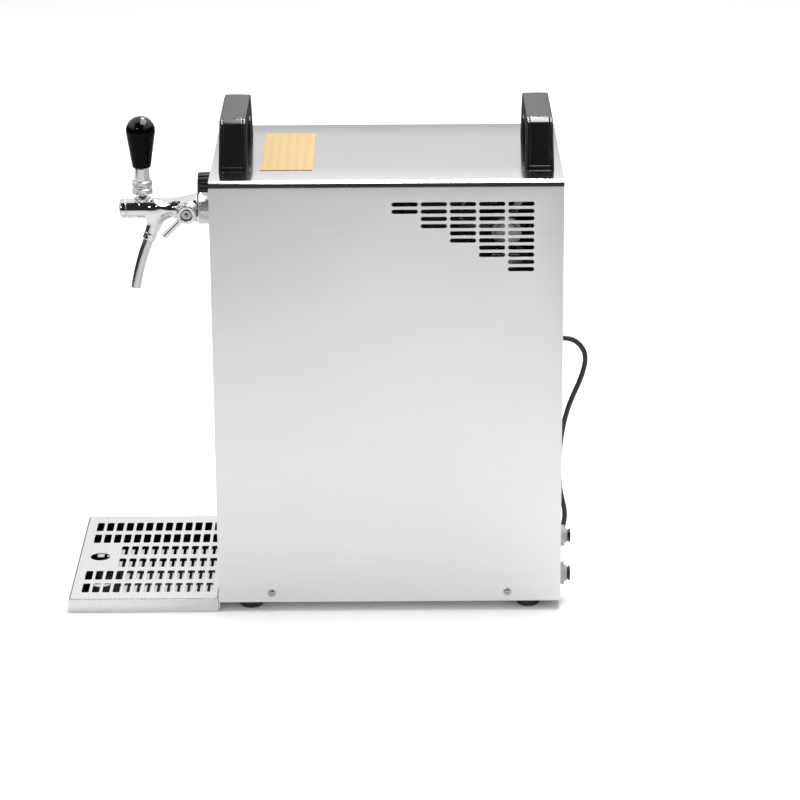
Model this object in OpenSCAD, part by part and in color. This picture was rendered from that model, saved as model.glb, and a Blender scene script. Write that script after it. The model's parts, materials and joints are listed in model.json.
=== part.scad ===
// Drink cooler for a bar counter: a sheet-steel cabinet with a lever tap,
// a loose drip tray and a cooling unit inside.
// X runs across the width, the front faces -Y, Z is up and the floor is Z = 0.
// The origin is the middle of the footprint on the floor, with the mains lead left out.
// All sizes are in millimetres.

/* [Cabinet] */
// Width of the cabinet over its side walls
cabinet_w = 272; // [260:1:320]
// Depth of the cabinet from the front panel to the rear panel
cabinet_d = 400; // [390:1:480]
// Height of the cover from its lower edge to its top
cover_h = 508; // [480:1:600]
// Thickness of the steel sheet
sheet_t = 1; // [0.8:0.1:1.5]
// Outside radius of the bends along the cover's top edges
bend_r = 8; // [4:0.5:10]
// Height of the cover's lower edge above the floor
floor_gap = 12; // [10:1:18]
// How far the front and rear panels hang below the cover's lower edge
panel_drop = 8; // [4:1:9]
// Height of the upturned walls of the base pan
pan_wall_h = 26; // [22:1:36]
// Depth of the folded edges of the front and rear panels
panel_fold = 14; // [10:1:20]
// Clearance between nested sheets
sheet_gap = 0.2; // [0.1:0.05:0.4]
// Clearance round a screw or thread in its hole
hole_gap = 0.2; // [0.1:0.05:0.4]

/* [Vents] */
// Length of one vent slot
slot_l = 29.7; // [20:0.1:31]
// Width of one vent slot
slot_w = 5; // [3:0.5:7]
// Distance between columns of vent slots
slot_pitch_y = 32.8; // [32:0.2:36]
// Distance between rows of vent slots
slot_pitch_z = 8.5; // [8:0.5:10]
// Number of columns, each two rows taller than the one before
slot_columns = 5; // [3:1:5]
// Distance from the last slot's end to the cabinet's rear
slot_margin_y = 33.5; // [25:0.5:50]
// Distance from the top row to the cabinet's top
slot_margin_z = 27; // [20:1:40]

/* [Feet and screws] */
// Radius of a rubber foot
foot_r = 15; // [12:0.5:18]
// Distance from a foot's centre to the cabinet's side
foot_inset_x = 24; // [22:1:40]
// Distance from a foot's centre to the cabinet's front or rear
foot_inset_y = 37; // [30:1:60]
// Radius of a foot's bolt
foot_bolt_r = 3; // [2:0.5:4]
// Radius of a case screw
screw_r = 2.4; // [2:0.1:3]
// Radius of a case screw's head
screw_head_r = 4.8; // [4:0.1:6]
// Height of a case screw's head
screw_head_h = 2.6; // [2:0.1:3.5]
// Length of a case screw under its head
screw_l = 11; // [8:1:14]
// Height of the case screws above the cover's lower edge
screw_z = 11.4; // [8:0.2:14]
// Distance from a side screw to the cabinet's front or rear
screw_inset_y = 62; // [55:1:90]
// Distance from a rear screw to the cabinet's side
screw_inset_x = 60; // [50:1:80]

/* [Handles] */
// Length of a carrying handle across the cabinet
handle_l = 133; // [120:1:160]
// Width of a handle
handle_w = 30; // [24:1:34]
// Height of a handle
handle_h = 55; // [45:1:65]
// Thickness of a handle's leg
handle_leg = 21; // [18:1:26]
// Thickness of the grip over the hand opening
handle_grip = 18; // [14:1:22]
// Distance from a handle to the cabinet's front or rear
handle_inset = 10.5; // [6:0.5:20]
// Rise of the grip's crown across its width
handle_crown = 1.2; // [0.6:0.1:2.4]
// Outer corner radius of a handle
handle_corner = 6; // [4:0.5:10]
// Corner radius of the hand opening
hand_corner = 13; // [8:1:16]
// How far the foot of a leg stands out from the end of the grip
handle_splay = 18; // [8:1:24]
// How much a leg widens to each side from the grip to its foot
handle_flare = 1.3; // [0.6:0.1:2]
// Width of the cover cap set into a leg's outer face
leg_cap_w = 22; // [16:1:23]
// Thickness of a leg's cover cap
leg_cap_t = 1.4; // [1:0.1:2]
// Radius of a handle's screw
handle_screw_r = 2.5; // [2:0.1:3]

/* [Top plate] */
// Length of the veneer plate across the cabinet
plate_l = 170; // [120:1:200]
// Width of the veneer plate
plate_w = 59.5; // [40:0.5:80]
// Thickness of the veneer plate
plate_t = 0.8; // [0.5:0.1:1.5]
// Distance from the veneer plate to the cabinet's front
plate_inset = 56.5; // [50:0.5:70]

/* [Tap] */
// Depth of the tap's axis below the cabinet's top
tap_drop = 67; // [62:1:80]
// Distance from the front panel to the tap's front end
tap_reach = 112; // [110:1:125]
// Radius of the tap's barrel
barrel_r = 11.8; // [11.4:0.1:13]
// Radius of the shank through the front panel
shank_r = 12; // [11.8:0.1:13]
// Length of the shank inside the cabinet
shank_in = 40; // [30:1:50]
// Radius of the shank's bore
shank_bore_r = 4.5; // [3.5:0.1:5]
// Radius of the knurled coupling nut
nut_r = 18.5; // [16:0.5:20]
// Radius of the valve's bore in the barrel
valve_bore_r = 7.2; // [7:0.1:7.6]
// Running clearance of the valve plunger in its bore
valve_gap = 0.3; // [0.2:0.05:0.4]
// Distance from the tap's front end to the lever's axis
lever_back = 27; // [25:1:30]
// Height of the lever's pivot above the barrel's axis
pivot_h = 9; // [8.6:0.1:9.4]
// Radius of the lever's pivot pin
pivot_pin_r = 1.5; // [1.2:0.1:1.6]
// Running clearance of a pivot pin or spindle in its bore
running_gap = 0.05; // [0.03:0.01:0.08]
// Radius of the knurled rings on the lever
ring_r = 12; // [11:0.5:13]
// Height of one knurled ring
ring_h = 6.8; // [5:0.2:8]
// Height of the lower ring above the barrel's axis
ring_z = 18.6; // [18.4:0.1:21]
// Height of the ferrule between the upper ring and the knob
ferrule_h = 16; // [12:0.5:20]
// Radius of the knob at its widest
knob_r = 17; // [15:0.5:19]
// Radius of the knob's lower end
knob_foot_r = 10.8; // [10:0.2:13]
// Length of the knob
knob_l = 60; // [50:0.5:66]
// Distance from the front panel to the outlet branch
outlet_back = 64.5; // [62:0.5:66]
// Length of the outlet branch
outlet_l = 40; // [36:1:44]
// Forward tilt of the outlet branch in degrees
outlet_tilt = 22; // [18:1:26]
// Radius of the spout tube
spout_r = 6; // [5:0.1:6.4]
// Radius of the spout's bore
spout_bore_r = 4.6; // [3.6:0.1:4.6]
// Length of the spout's bend
spout_l = 61; // [50:1:75]
// Angle through which the spout bends towards the vertical
spout_turn = 12; // [8:1:16]
// Distance from the front panel to the flow control spindle
control_back = 32.6; // [32:0.2:34]
// Radius of the flow control's hub
control_hub_r = 11.4; // [10:0.2:12]
// Length of the flow control lever from its axis
control_l = 38; // [30:1:46]

/* [Thermostat] */
// Distance of the thermostat's axis from the cabinet's side
dial_edge = 44; // [40:1:66]
// Radius of the thermostat's knob
dial_r = 21.5; // [16:0.5:22]
// Length of the thermostat's knob
dial_l = 25; // [20:1:30]
// Number of grip flutes round the thermostat's knob
dial_flutes = 18; // [12:1:24]
// Radius of the thermostat's shaft
dial_shaft_r = 3; // [2.5:0.1:3.5]

/* [Rear connections] */
// Distance of the push-in fittings from the cabinet's side
fitting_inset = 31; // [28:1:45]
// Height of the drink inlet above the cover's lower edge
inlet_z = 22; // [21:1:30]
// Height of the air outlet above the cover's lower edge
outlet_z = 69.5; // [65:0.5:90]
// Outside radius of the drink hose
drink_hose_r = 4.75; // [4:0.05:5]
// Outside radius of the air hose
air_hose_r = 4; // [3:0.05:4.5]
// Clearance of a hose in its fitting
hose_gap = 0.15; // [0.1:0.05:0.3]
// How far the fittings stand out from the rear panel
fitting_reach = 12.5; // [11:0.5:15]
// How far a release collet can be pushed in
collet_travel = 1.5; // [1:0.1:2]
// Height of the cord gland above the cover's lower edge
gland_z = 279; // [240:1:320]
// How far the cord gland stands out from the rear panel
gland_reach = 6.5; // [6:0.5:8]
// Radius of the mains cord
cord_r = 3.1; // [2.8:0.1:3.3]

/* [Drip tray] */
// Inset of the drip tray's sides from the cabinet's sides
tray_inset = 0; // [0:1:20]
// Depth of the drip tray from front to rear
tray_d = 176; // [172:1:220]
// Height of the drip tray
tray_h = 16.6; // [15:0.2:24]
// Gap between the drip tray and the cabinet
tray_gap = 0.5; // [0.3:0.1:2]
// Gap between the grate and the tray's walls
grate_gap = 0.8; // [0.5:0.1:1.5]
// Length of a grate slot
grate_slot_l = 28; // [20:0.5:32]
// Width of a grate slot
grate_slot_w = 8.6; // [6:0.2:9]
// Corner radius of a grate slot
grate_slot_r = 2; // [1:0.2:2.8]
// Distance between grate slots from front to rear
grate_pitch_y = 12.17; // [12:0.01:13]
// Distance between grate slots across the tray
grate_pitch_x = 40; // [36:0.5:44]
// Number of slots from front to rear
grate_slots_y = 13; // [8:1:13]
// Distance from the tray's front to the first slot's middle
grate_margin = 17.5; // [12:0.5:20]
// Radius of the finger hole in the grate
finger_r = 12; // [10:0.5:14]
// Distance from the tray's front to the finger hole's centre
finger_back = 26; // [22:0.5:28]

/* [Cooling unit] */
// Width of the insulated cooler block
jacket_w = 180; // [140:1:190]
// Depth of the insulated cooler block
jacket_d = 150; // [120:1:160]
// Height of the insulated cooler block with its lid
jacket_h = 320; // [260:1:325]
// Thickness of the foam
foam_t = 22; // [15:1:30]
// Radius of the compressor's shell
compressor_r = 56; // [45:1:58]
// Height of the compressor's shell
compressor_h = 123; // [100:1:140]
// Thickness of the condenser
condenser_t = 36; // [24:1:40]
// Distance between the condenser's tubes
condenser_pitch = 22; // [20:1:22]
// Number of tubes in the condenser
condenser_tubes = 6; // [4:2:6]
// Number of fins on the condenser
condenser_fins_n = 21; // [12:1:22]
// Radius of the fan
fan_r = 50; // [40:1:52]
// Number of fan blades
fan_blades = 5; // [3:1:7]
// Distance from the fan's axis to the cabinet's rear
fan_inset_y = 63; // [60:1:80]
// Distance from the fan's axis to the cabinet's top
fan_inset_z = 74; // [68:1:84]
// Distance from the fan motor's face to the cabinet's side
fan_inset_x = 44; // [30:1:60]

/* [Hidden] */
$fn = 48;
cut = 0.5;

steel = [0.80, 0.81, 0.82];
bright_steel = [0.86, 0.87, 0.88];
chrome = [0.90, 0.91, 0.93];
black = [0.06, 0.06, 0.07];
rubber = [0.10, 0.10, 0.10];
fitting_grey = [0.62, 0.63, 0.64];
copper = [0.72, 0.45, 0.30];
foam = [0.90, 0.88, 0.80];
aluminium = [0.75, 0.76, 0.78];
veneer = [0.90, 0.78, 0.48];
clear_hose = [0.85, 0.88, 0.90];

// Main planes of the cabinet
cab_y = (tray_d + tray_gap - fitting_reach) / 2;
front_y = cab_y - cabinet_d / 2;
rear_y = cab_y + cabinet_d / 2;
side_x = cabinet_w / 2;
top_z = floor_gap + cover_h;
front_in = front_y + sheet_t;
rear_in = rear_y - sheet_t;
base_top = floor_gap + sheet_t;
panel_w = cabinet_w - 2 * (sheet_t + sheet_gap);
tap_z = top_z - tap_drop;

// A rod or cone along one axis, and a block between two corners
module rod_x(r, x0, x1) {
  translate([x0, 0, 0]) rotate([0, 90, 0]) cylinder(r = r, h = x1 - x0);
}
module rod_y(r, y0, y1) {
  translate([0, y0, 0]) rotate([-90, 0, 0]) cylinder(r = r, h = y1 - y0);
}
module cone_y(r0, r1, y0, y1) {
  translate([0, y0, 0]) rotate([-90, 0, 0]) cylinder(r1 = r0, r2 = r1, h = y1 - y0);
}
module rod_z(r, z0, z1) {
  translate([0, 0, z0]) cylinder(r = r, h = z1 - z0);
}
module block(low, high) {
  translate(low) cube(high - low);
}
// A block standing on Z = 0, centred on X, with its two top edges rounded
module arch(w, h, r, y0, y1) {
  translate([0, y1, 0]) rotate([90, 0, 0]) linear_extrude(y1 - y0) {
    translate([-w / 2, 0]) square([w, h - r]);
    translate([-w / 2 + r, 0]) square([w - 2 * r, h]);
    for (s = [-1, 1]) translate([s * (w / 2 - r), h - r]) circle(r = r);
  }
}
// Puts a flat outline into the Y-Z plane, spread along X
module across(x0, x1) {
  translate([x0, 0, 0]) rotate([90, 0, 90]) linear_extrude(x1 - x0) children();
}

// Points on an arc of a circle, for outlines
function arc(c, r, a0, a1, n) =
  [for (i = [0:n]) let (a = a0 + (a1 - a0) * i / n) c + r * [cos(a), sin(a)]];

// A round tube swept along points
function unit(v) = v / norm(v);
function heading(p, i) = unit(p[min(i + 1, len(p) - 1)] - p[max(i - 1, 0)]);
function square_to(v, t) = unit(v - (v * t) * t);
function first_side(t) = square_to(abs(t.z) < 0.8 ? [0, 0, 1] : [1, 0, 0], t);
function sides_of(p, i, n, found) =
  i >= len(p) ? found : let (m = square_to(n, heading(p, i))) sides_of(p, i + 1, m, concat(found, [m]));
function ring_of(c, t, n, r, k) =
  let (b = cross(t, n)) [for (j = [0:k - 1]) c + r * (cos(360 * j / k) * n + sin(360 * j / k) * b)];
module tube(p, r, k) {
  count = len(p);
  side = sides_of(p, 0, first_side(heading(p, 0)), []);
  corners = [for (i = [0:count - 1]) each ring_of(p[i], heading(p, i), side[i], r, k)];
  walls = [for (i = [0:count - 2], j = [0:k - 1]) let (a = i * k + j, b = i * k + (j + 1) % k)
    each [[a, b + k, b], [a, a + k, b + k]]];
  ends = [for (j = [1:k - 2]) each [[0, j, j + 1], [0, j + 1, j] + (count - 1) * k * [1, 1, 1]]];
  polyhedron(points = corners, faces = concat(walls, ends));
}
// A smooth curve through a few points, with m steps from one to the next
function bend_at(p, i, s) =
  let (a = p[max(i - 1, 0)], b = p[i], c = p[i + 1], d = p[min(i + 2, len(p) - 1)])
  0.5 * (2 * b + (c - a) * s + (2 * a - 5 * b + 4 * c - d) * s * s + (3 * b - a - 3 * c + d) * s * s * s);
function smooth(p, m) =
  concat([for (i = [0:len(p) - 2], j = [0:m - 1]) bend_at(p, i, j / m)], [p[len(p) - 1]]);

// Cabinet

module slot_outline(l, w) {
  square([l - w, w], center = true);
  for (s = [-1, 1]) translate([s * (l - w) / 2, 0]) circle(d = w);
}
vent_y = rear_y - slot_margin_y - slot_l / 2;
module vent_outline() {
  for (c = [0:slot_columns - 1], r = [0:2 * (slot_columns - c) - 1])
    translate([vent_y - c * slot_pitch_y, top_z - slot_margin_z - r * slot_pitch_z])
      slot_outline(slot_l, slot_w);
}
side_screw_y = [cab_y - cabinet_d / 2 + screw_inset_y, cab_y + cabinet_d / 2 - screw_inset_y];
case_screw_z = floor_gap + screw_z;
rear_screw_x = side_x - screw_inset_x;
handle_y = [front_y + handle_inset + handle_w / 2, rear_y - handle_inset - handle_w / 2];
handle_screw_x = handle_l / 2 + handle_splay - handle_leg / 2 - leg_cap_t;

module cover_shell() {
  color(steel) difference() {
    translate([0, 0, floor_gap]) arch(cabinet_w, cover_h, bend_r, front_y, rear_y);
    translate([0, 0, floor_gap - cut])
      arch(cabinet_w - 2 * sheet_t, cover_h - sheet_t + cut, bend_r - sheet_t, front_y - cut, rear_y + cut);
    across(-cabinet_w, cabinet_w) vent_outline();
    for (y = side_screw_y)
      translate([0, y, case_screw_z]) rod_x(screw_r + hole_gap, -cabinet_w, cabinet_w);
    for (y = handle_y, s = [-1, 1])
      translate([s * handle_screw_x, y, 0])
        rod_z(handle_screw_r + hole_gap, top_z - 2 * sheet_t, top_z + cut);
  }
}

// A flat panel closing one end of the cover, with its side edges folded inwards
module end_panel(face_y, inward) {
  back_y = face_y + inward * sheet_t;
  fold_y = face_y + inward * panel_fold;
  translate([0, 0, floor_gap - panel_drop])
    arch(panel_w, cover_h + panel_drop - sheet_t, bend_r, min(face_y, back_y), max(face_y, back_y));
  for (s = [-1, 1]) {
    x = [s * panel_w / 2, s * (panel_w / 2 - sheet_t)];
    block([min(x), min(back_y, fold_y), floor_gap + pan_wall_h + sheet_t],
      [max(x), max(back_y, fold_y), top_z - sheet_t - 2 * bend_r]);
  }
}
module front_panel() {
  color(steel) difference() {
    end_panel(front_y, 1);
    at_tap() rod_y(shank_r + hole_gap, -cut, sheet_t + cut);
    at_dial() rod_y(dial_bush_r + hole_gap, -cut, sheet_t + cut);
  }
}
module rear_panel() {
  color(steel) difference() {
    end_panel(rear_y, -1);
    for (z = [drink_z, air_z])
      translate([fitting_x, rear_y, z]) rod_y(fitting_thread_r + hole_gap, -sheet_t - cut, cut);
    at_gland() rod_y(gland_neck_r + hole_gap, -sheet_t - cut, cut);
    for (s = [-1, 1])
      translate([s * rear_screw_x, rear_y, case_screw_z]) rod_y(screw_r + hole_gap, -sheet_t - cut, cut);
  }
}
foot_x = side_x - foot_inset_x;
foot_y = cabinet_d / 2 - foot_inset_y;
module at_feet() {
  for (s = [-1, 1], t = [-1, 1]) translate([s * foot_x, cab_y + t * foot_y, 0]) children();
}
module base_pan() {
  half_w = side_x - sheet_t;
  color(steel) difference() {
    block([-half_w, front_in, floor_gap], [half_w, rear_in, floor_gap + pan_wall_h]);
    block([-half_w + sheet_t, front_in + sheet_t, base_top], [half_w - sheet_t, rear_in - sheet_t, top_z]);
    block([fitting_x - notch_half, rear_in - 2 * sheet_t, base_top + 2], [fitting_x + notch_half, rear_y,
      top_z]);
    at_feet() rod_z(foot_bolt_r + hole_gap, 0, base_top + cut);
    for (y = side_screw_y)
      translate([0, y, case_screw_z]) rod_x(screw_r + hole_gap / 2, -cabinet_w, cabinet_w);
    for (s = [-1, 1])
      translate([s * rear_screw_x, rear_in, case_screw_z]) rod_y(screw_r + hole_gap / 2, -2 * sheet_t, cut);
  }
}

foot_recess_r = 2 * foot_bolt_r;
foot_recess_h = floor_gap / 2;
module feet() {
  tread_r = foot_r - 3;
  color(rubber) at_feet() difference() {
    union() {
      rod_z(foot_r, floor_gap / 3, floor_gap);
      cylinder(r1 = tread_r, r2 = foot_r, h = floor_gap / 3);
    }
    rod_z(foot_bolt_r + hole_gap, -cut, floor_gap + cut);
    rod_z(foot_recess_r, -cut, foot_recess_h);
  }
}
module foot_bolts() {
  head_h = foot_recess_h / 2;
  tip_z = base_top + 2 * foot_bolt_r;
  color(bright_steel) at_feet() {
    rod_z(foot_recess_r - 2 * hole_gap, foot_recess_h - head_h, foot_recess_h);
    rod_z(foot_bolt_r, foot_recess_h, tip_z);
  }
}
module case_screw() {
  dome_h = screw_head_h / 2;
  rod_z(screw_r, -screw_l, 0);
  rod_z(screw_head_r, 0, dome_h);
  translate([0, 0, dome_h]) cylinder(r1 = screw_head_r, r2 = screw_head_r - dome_h, h = dome_h);
}
module case_screws() {
  color(bright_steel) {
    for (s = [-1, 1], y = side_screw_y)
      translate([s * side_x, y, case_screw_z]) rotate([0, s * 90, 0]) case_screw();
    for (s = [-1, 1])
      translate([s * rear_screw_x, rear_y, case_screw_z]) rotate([-90, 0, 0]) case_screw();
  }
}

// Handles and veneer plate

handle_screw_depth = 14;
leg_cap_gap = 0.2;
leg_lean = atan(handle_splay / handle_h);
leg_cap_low = 4;
leg_cap_high = handle_h / cos(leg_lean) - handle_corner * tan(45 - leg_lean / 2) - handle_crown;
crown_r = (handle_w * handle_w / 4 + handle_crown * handle_crown) / (2 * handle_crown);
// Outline with a flat top of length w, rounded corners and sides that lean out by the leg's angle
module splayed(w, h, r, y0, y1) {
  foot = w / 2 + h * tan(leg_lean);
  centre = w / 2 - r * tan(45 - leg_lean / 2);
  translate([0, y1, 0]) rotate([90, 0, 0]) linear_extrude(y1 - y0) polygon(concat(
    [[-foot, 0], [foot, 0]],
    arc([centre, h - r], r, leg_lean, 90, 6),
    arc([-centre, h - r], r, 90, 180 - leg_lean, 6)));
}
module leg_cap_shape(gap) {
  for (s = [-1, 1]) {
    x = [-s * leg_cap_t, s * (gap > 0 ? cut : 0)];
    translate([s * (handle_l / 2 + handle_splay), 0, 0]) rotate([0, -s * leg_lean, 0])
      block([min(x), -leg_cap_w / 2 - gap, leg_cap_low - gap], [max(x), leg_cap_w / 2 + gap,
        leg_cap_high + gap]);
  }
}
module handle() {
  half = handle_w / 2;
  foot = half + handle_flare;
  hand_w = handle_l - 2 * handle_leg;
  difference() {
    intersection() {
      splayed(handle_l, handle_h, handle_corner, -handle_w, handle_w);
      across(-handle_l, handle_l) polygon([[-foot, 0], [foot, 0], [half, handle_h], [-half, handle_h]]);
      translate([0, 0, handle_h - crown_r]) rod_x(crown_r, -handle_l, handle_l);
    }
    translate([0, 0, -cut]) splayed(hand_w, handle_h - handle_grip + cut, hand_corner, -2 * handle_w,
      2 * handle_w);
    for (s = [-1, 1])
      translate([s * handle_screw_x, 0, 0]) rod_z(handle_screw_r + hole_gap / 2, -cut, handle_screw_depth);
    leg_cap_shape(leg_cap_gap);
  }
}
module handle_front() {
  color(black) translate([0, handle_y[0], top_z]) handle();
}
module handle_rear() {
  color(black) translate([0, handle_y[1], top_z]) handle();
}
module handle_caps() {
  color(black) for (y = handle_y) translate([0, y, top_z]) leg_cap_shape(0);
}
module handle_screws() {
  head_h = 3;
  color(bright_steel) for (y = handle_y, s = [-1, 1])
    translate([s * handle_screw_x, y, top_z - sheet_t]) {
      rod_z(handle_screw_r, 0, handle_screw_depth + sheet_t - cut);
      rod_z(2 * handle_screw_r, -head_h, 0);
    }
}
module veneer_plate() {
  y0 = front_y + plate_inset;
  color(veneer) block([-plate_l / 2, y0, top_z], [plate_l / 2, y0 + plate_w, top_z + plate_t]);
}

// Thermostat

dial_x = dial_edge - side_x;
dial_gap = 1;
dial_bush_r = dial_shaft_r + 2;
dial_bush_out = dial_gap - 0.3;
dial_body = [40, 26, 34];
dial_bore_l = 14;
module at_dial() {
  translate([dial_x, front_y, tap_z]) children();
}
module thermostat_knob() {
  skirt_l = 5;
  flute_r = 2;
  grip_r = dial_r - 2;
  color(black) at_dial() difference() {
    union() {
      rod_y(dial_r, -dial_gap - skirt_l, -dial_gap);
      cone_y(grip_r - 0.8, grip_r, -dial_gap - dial_l, -dial_gap - skirt_l);
    }
    for (k = [0:dial_flutes - 1]) rotate([0, 360 * k / dial_flutes, 0])
      translate([0, 0, grip_r + 0.4]) rod_y(flute_r, -dial_gap - dial_l - cut, -dial_gap - skirt_l - 0.8);
    rod_y(dial_shaft_r + running_gap, -dial_gap - dial_bore_l, 0);
  }
}
module thermostat_shaft() {
  color(bright_steel) at_dial() rod_y(dial_shaft_r, -dial_gap - dial_bore_l, sheet_t + 6);
}
module thermostat_body() {
  color(fitting_grey) at_dial() difference() {
    union() {
      block([-dial_body.x / 2, sheet_t, -dial_body.z / 2], [dial_body.x / 2, sheet_t + dial_body.y,
        dial_body.z / 2]);
      rod_y(dial_bush_r, -dial_bush_out, 2 * sheet_t);
    }
    rod_y(dial_shaft_r + running_gap, -dial_gap, sheet_t + 8);
  }
}

// Tap, along -Y from the front panel at X = 0

rosette_t = 3;
rosette_r = nut_r + 2;
shank_out = 12;
tail_r = shank_r - 2.4;
tail_flange_t = 3;
nut_front = 20;
nut_gap = 0.3;
shoulder_back = nut_front + 1;
shoulder_l = 27;
seat_r = valve_bore_r - 3;
seat_l = 3.5;
valve_back = tap_reach - 58;
cap_l = 8;
lever_y = -(tap_reach - lever_back);
bonnet_r = barrel_r - 2.3;
bonnet_top = barrel_r + 2.2;
ball_r = 5.3;
rod_r = 3.5;
tip_r = 2.8;
tip_rod_r = 1.9;
lever_gap = 0.3;
branch_r = barrel_r - 0.4;
collar_r = spout_r + 1.8;
collar_l = 8;
spout_socket_l = 6;
spindle_r = 4;
hub_x = 22;
control_gap = 0.3;
control_cap_l = 8;
recess_l = 3.5;
module at_tap() {
  translate([0, front_y, tap_z]) children();
}
module at_lever() {
  at_tap() translate([0, lever_y, 0]) children();
}
module at_outlet() {
  at_tap() translate([0, -outlet_back, 0]) rotate([-outlet_tilt, 0, 0]) children();
}
module at_control() {
  at_tap() translate([0, -control_back, 0]) children();
}

module tap_shank() {
  color(chrome) at_tap() difference() {
    union() {
      rod_y(shank_r, -shank_out, shank_in);
      rod_y(rosette_r, -rosette_t, 0);
    }
    rod_y(shank_bore_r, -shank_out - cut, shank_in + cut);
  }
}
module shank_nut() {
  shank_nut_h = 7;
  color(bright_steel) at_tap() difference() {
    translate([0, sheet_t, 0]) rotate([-90, 0, 0]) cylinder(r = shank_r + 7, h = shank_nut_h, $fn = 6);
    rod_y(shank_r + hole_gap / 2, 0, sheet_t + shank_nut_h + cut);
  }
}
module coupling_nut() {
  color(chrome) at_tap() difference() {
    rod_y(nut_r, -nut_front, -rosette_t - nut_gap);
    rod_y(shank_r + hole_gap, -shank_out - tail_flange_t, 0);
    rod_y(tail_r + hole_gap, -nut_front - cut, 0);
  }
}
module tap_body() {
  chamber_r = valve_bore_r + 0.4;
  color(chrome) difference() {
    union() {
      at_tap() {
        rod_y(shank_r - 0.5, -shank_out - tail_flange_t, -shank_out);
        rod_y(tail_r, -shoulder_back - cut, -shank_out);
        cone_y(barrel_r, nut_r - 0.5, -shoulder_back - shoulder_l, -shoulder_back);
        rod_y(barrel_r, cap_l - tap_reach, -shoulder_back - shoulder_l);
      }
      at_control() rod_x(control_hub_r, 0, hub_x);
      at_lever() rod_z(bonnet_r, 0, bonnet_top);
      at_outlet() {
        translate([0, 0, -outlet_l + collar_l]) cylinder(r1 = collar_r, r2 = branch_r,
          h = outlet_l - collar_l);
        rod_z(collar_r, -outlet_l, -outlet_l + collar_l);
      }
    }
    at_tap() {
      rod_y(chamber_r, seat_l - valve_back, 0);
      rod_y(seat_r, -valve_back - cut, 0);
      rod_y(valve_bore_r, -tap_reach, -valve_back);
    }
    at_control() rod_x(spindle_r + running_gap, 0, hub_x + cut);
    at_lever() {
      rod_z(ball_r + lever_gap, 0, bonnet_top - 3);
      translate([0, 0, bonnet_top - 3]) cylinder(r1 = ball_r + lever_gap, r2 = bonnet_r - 1.2, h = 3 + cut);
      translate([0, 0, pivot_h]) rod_x(pivot_pin_r + 0.02, -2 * barrel_r, bonnet_r - cut);
    }
    at_outlet() {
      rod_z(spout_bore_r, -outlet_l, 0);
      rod_z(spout_r + hole_gap / 2, -outlet_l - cut, -outlet_l + spout_socket_l);
    }
  }
}
module tap_cap() {
  spigot_l = 0.8;
  chamfer = 1.6;
  color(chrome) at_tap() {
    rod_y(barrel_r, chamfer - tap_reach, cap_l - tap_reach);
    cone_y(barrel_r - chamfer, barrel_r, -tap_reach, chamfer - tap_reach);
    rod_y(valve_bore_r - hole_gap, cap_l - tap_reach, cap_l - tap_reach + spigot_l);
  }
}
module tap_spout() {
  bend = spout_l / (spout_turn * PI / 180);
  color(bright_steel) at_outlet() difference() {
    union() {
      rod_z(spout_r, -outlet_l, -outlet_l + spout_socket_l);
      translate([0, bend, -outlet_l]) rotate([90, 0, 90]) rotate([0, 0, 180])
        rotate_extrude(angle = spout_turn) translate([bend, 0]) circle(r = spout_r);
    }
    rod_z(spout_bore_r, -outlet_l, -outlet_l + spout_socket_l + cut);
    translate([0, bend, -outlet_l]) rotate([90, 0, 90]) rotate([0, 0, 180])
      rotate_extrude(angle = spout_turn + cut) translate([bend, 0]) circle(r = spout_bore_r);
  }
}

// Lever, which tilts about its pivot pin
ring_gap = 2.1;
upper_ring_z = ring_z + ring_h + ring_gap;
ferrule_z = upper_ring_z + ring_h;
knob_z = ferrule_z + ferrule_h;
stem_top = knob_z + 20;
module lever_pin() {
  color(bright_steel) at_lever() translate([0, 0, pivot_h])
    rod_x(pivot_pin_r, -bonnet_r + cut, bonnet_r - cut);
}
module lever_stem() {
  color(bright_steel) at_lever() difference() {
    union() {
      translate([0, 0, pivot_h]) sphere(r = ball_r);
      rod_z(rod_r, pivot_h, stem_top);
      rod_z(tip_rod_r, 0, pivot_h);
      sphere(r = tip_r);
    }
    translate([0, 0, pivot_h]) rod_x(pivot_pin_r + running_gap, -2 * ball_r, 2 * ball_r);
  }
}
module lever_collar() {
  color(chrome) at_lever() difference() {
    union() {
      rod_z(ring_r, ring_z, ring_z + ring_h);
      rod_z(ring_r - 2.5, ring_z + ring_h, upper_ring_z);
    }
    rod_z(rod_r + hole_gap / 2, 0, stem_top);
  }
}
module lever_lock_nut() {
  color(chrome) at_lever() difference() {
    rod_z(ring_r, upper_ring_z, ferrule_z);
    rod_z(rod_r + hole_gap / 2, 0, stem_top);
  }
}
module lever_ferrule() {
  foot_r = knob_foot_r - 1.6;
  color(chrome) at_lever() difference() {
    translate([0, 0, ferrule_z]) cylinder(r1 = foot_r, r2 = foot_r - 0.7, h = ferrule_h);
    rod_z(rod_r + hole_gap / 2, 0, stem_top);
  }
}
module tap_knob() {
  ball_z = knob_z + knob_l - knob_r;
  slope = asin((knob_r - knob_foot_r) / (knob_l - knob_r));
  color(black) at_lever() difference() {
    rotate_extrude() polygon(concat(
      [[0, knob_z], [knob_foot_r, knob_z]],
      arc([0, ball_z], knob_r, -slope, 90, 10)));
    rod_z(rod_r + hole_gap / 2, 0, stem_top);
  }
}
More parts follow.
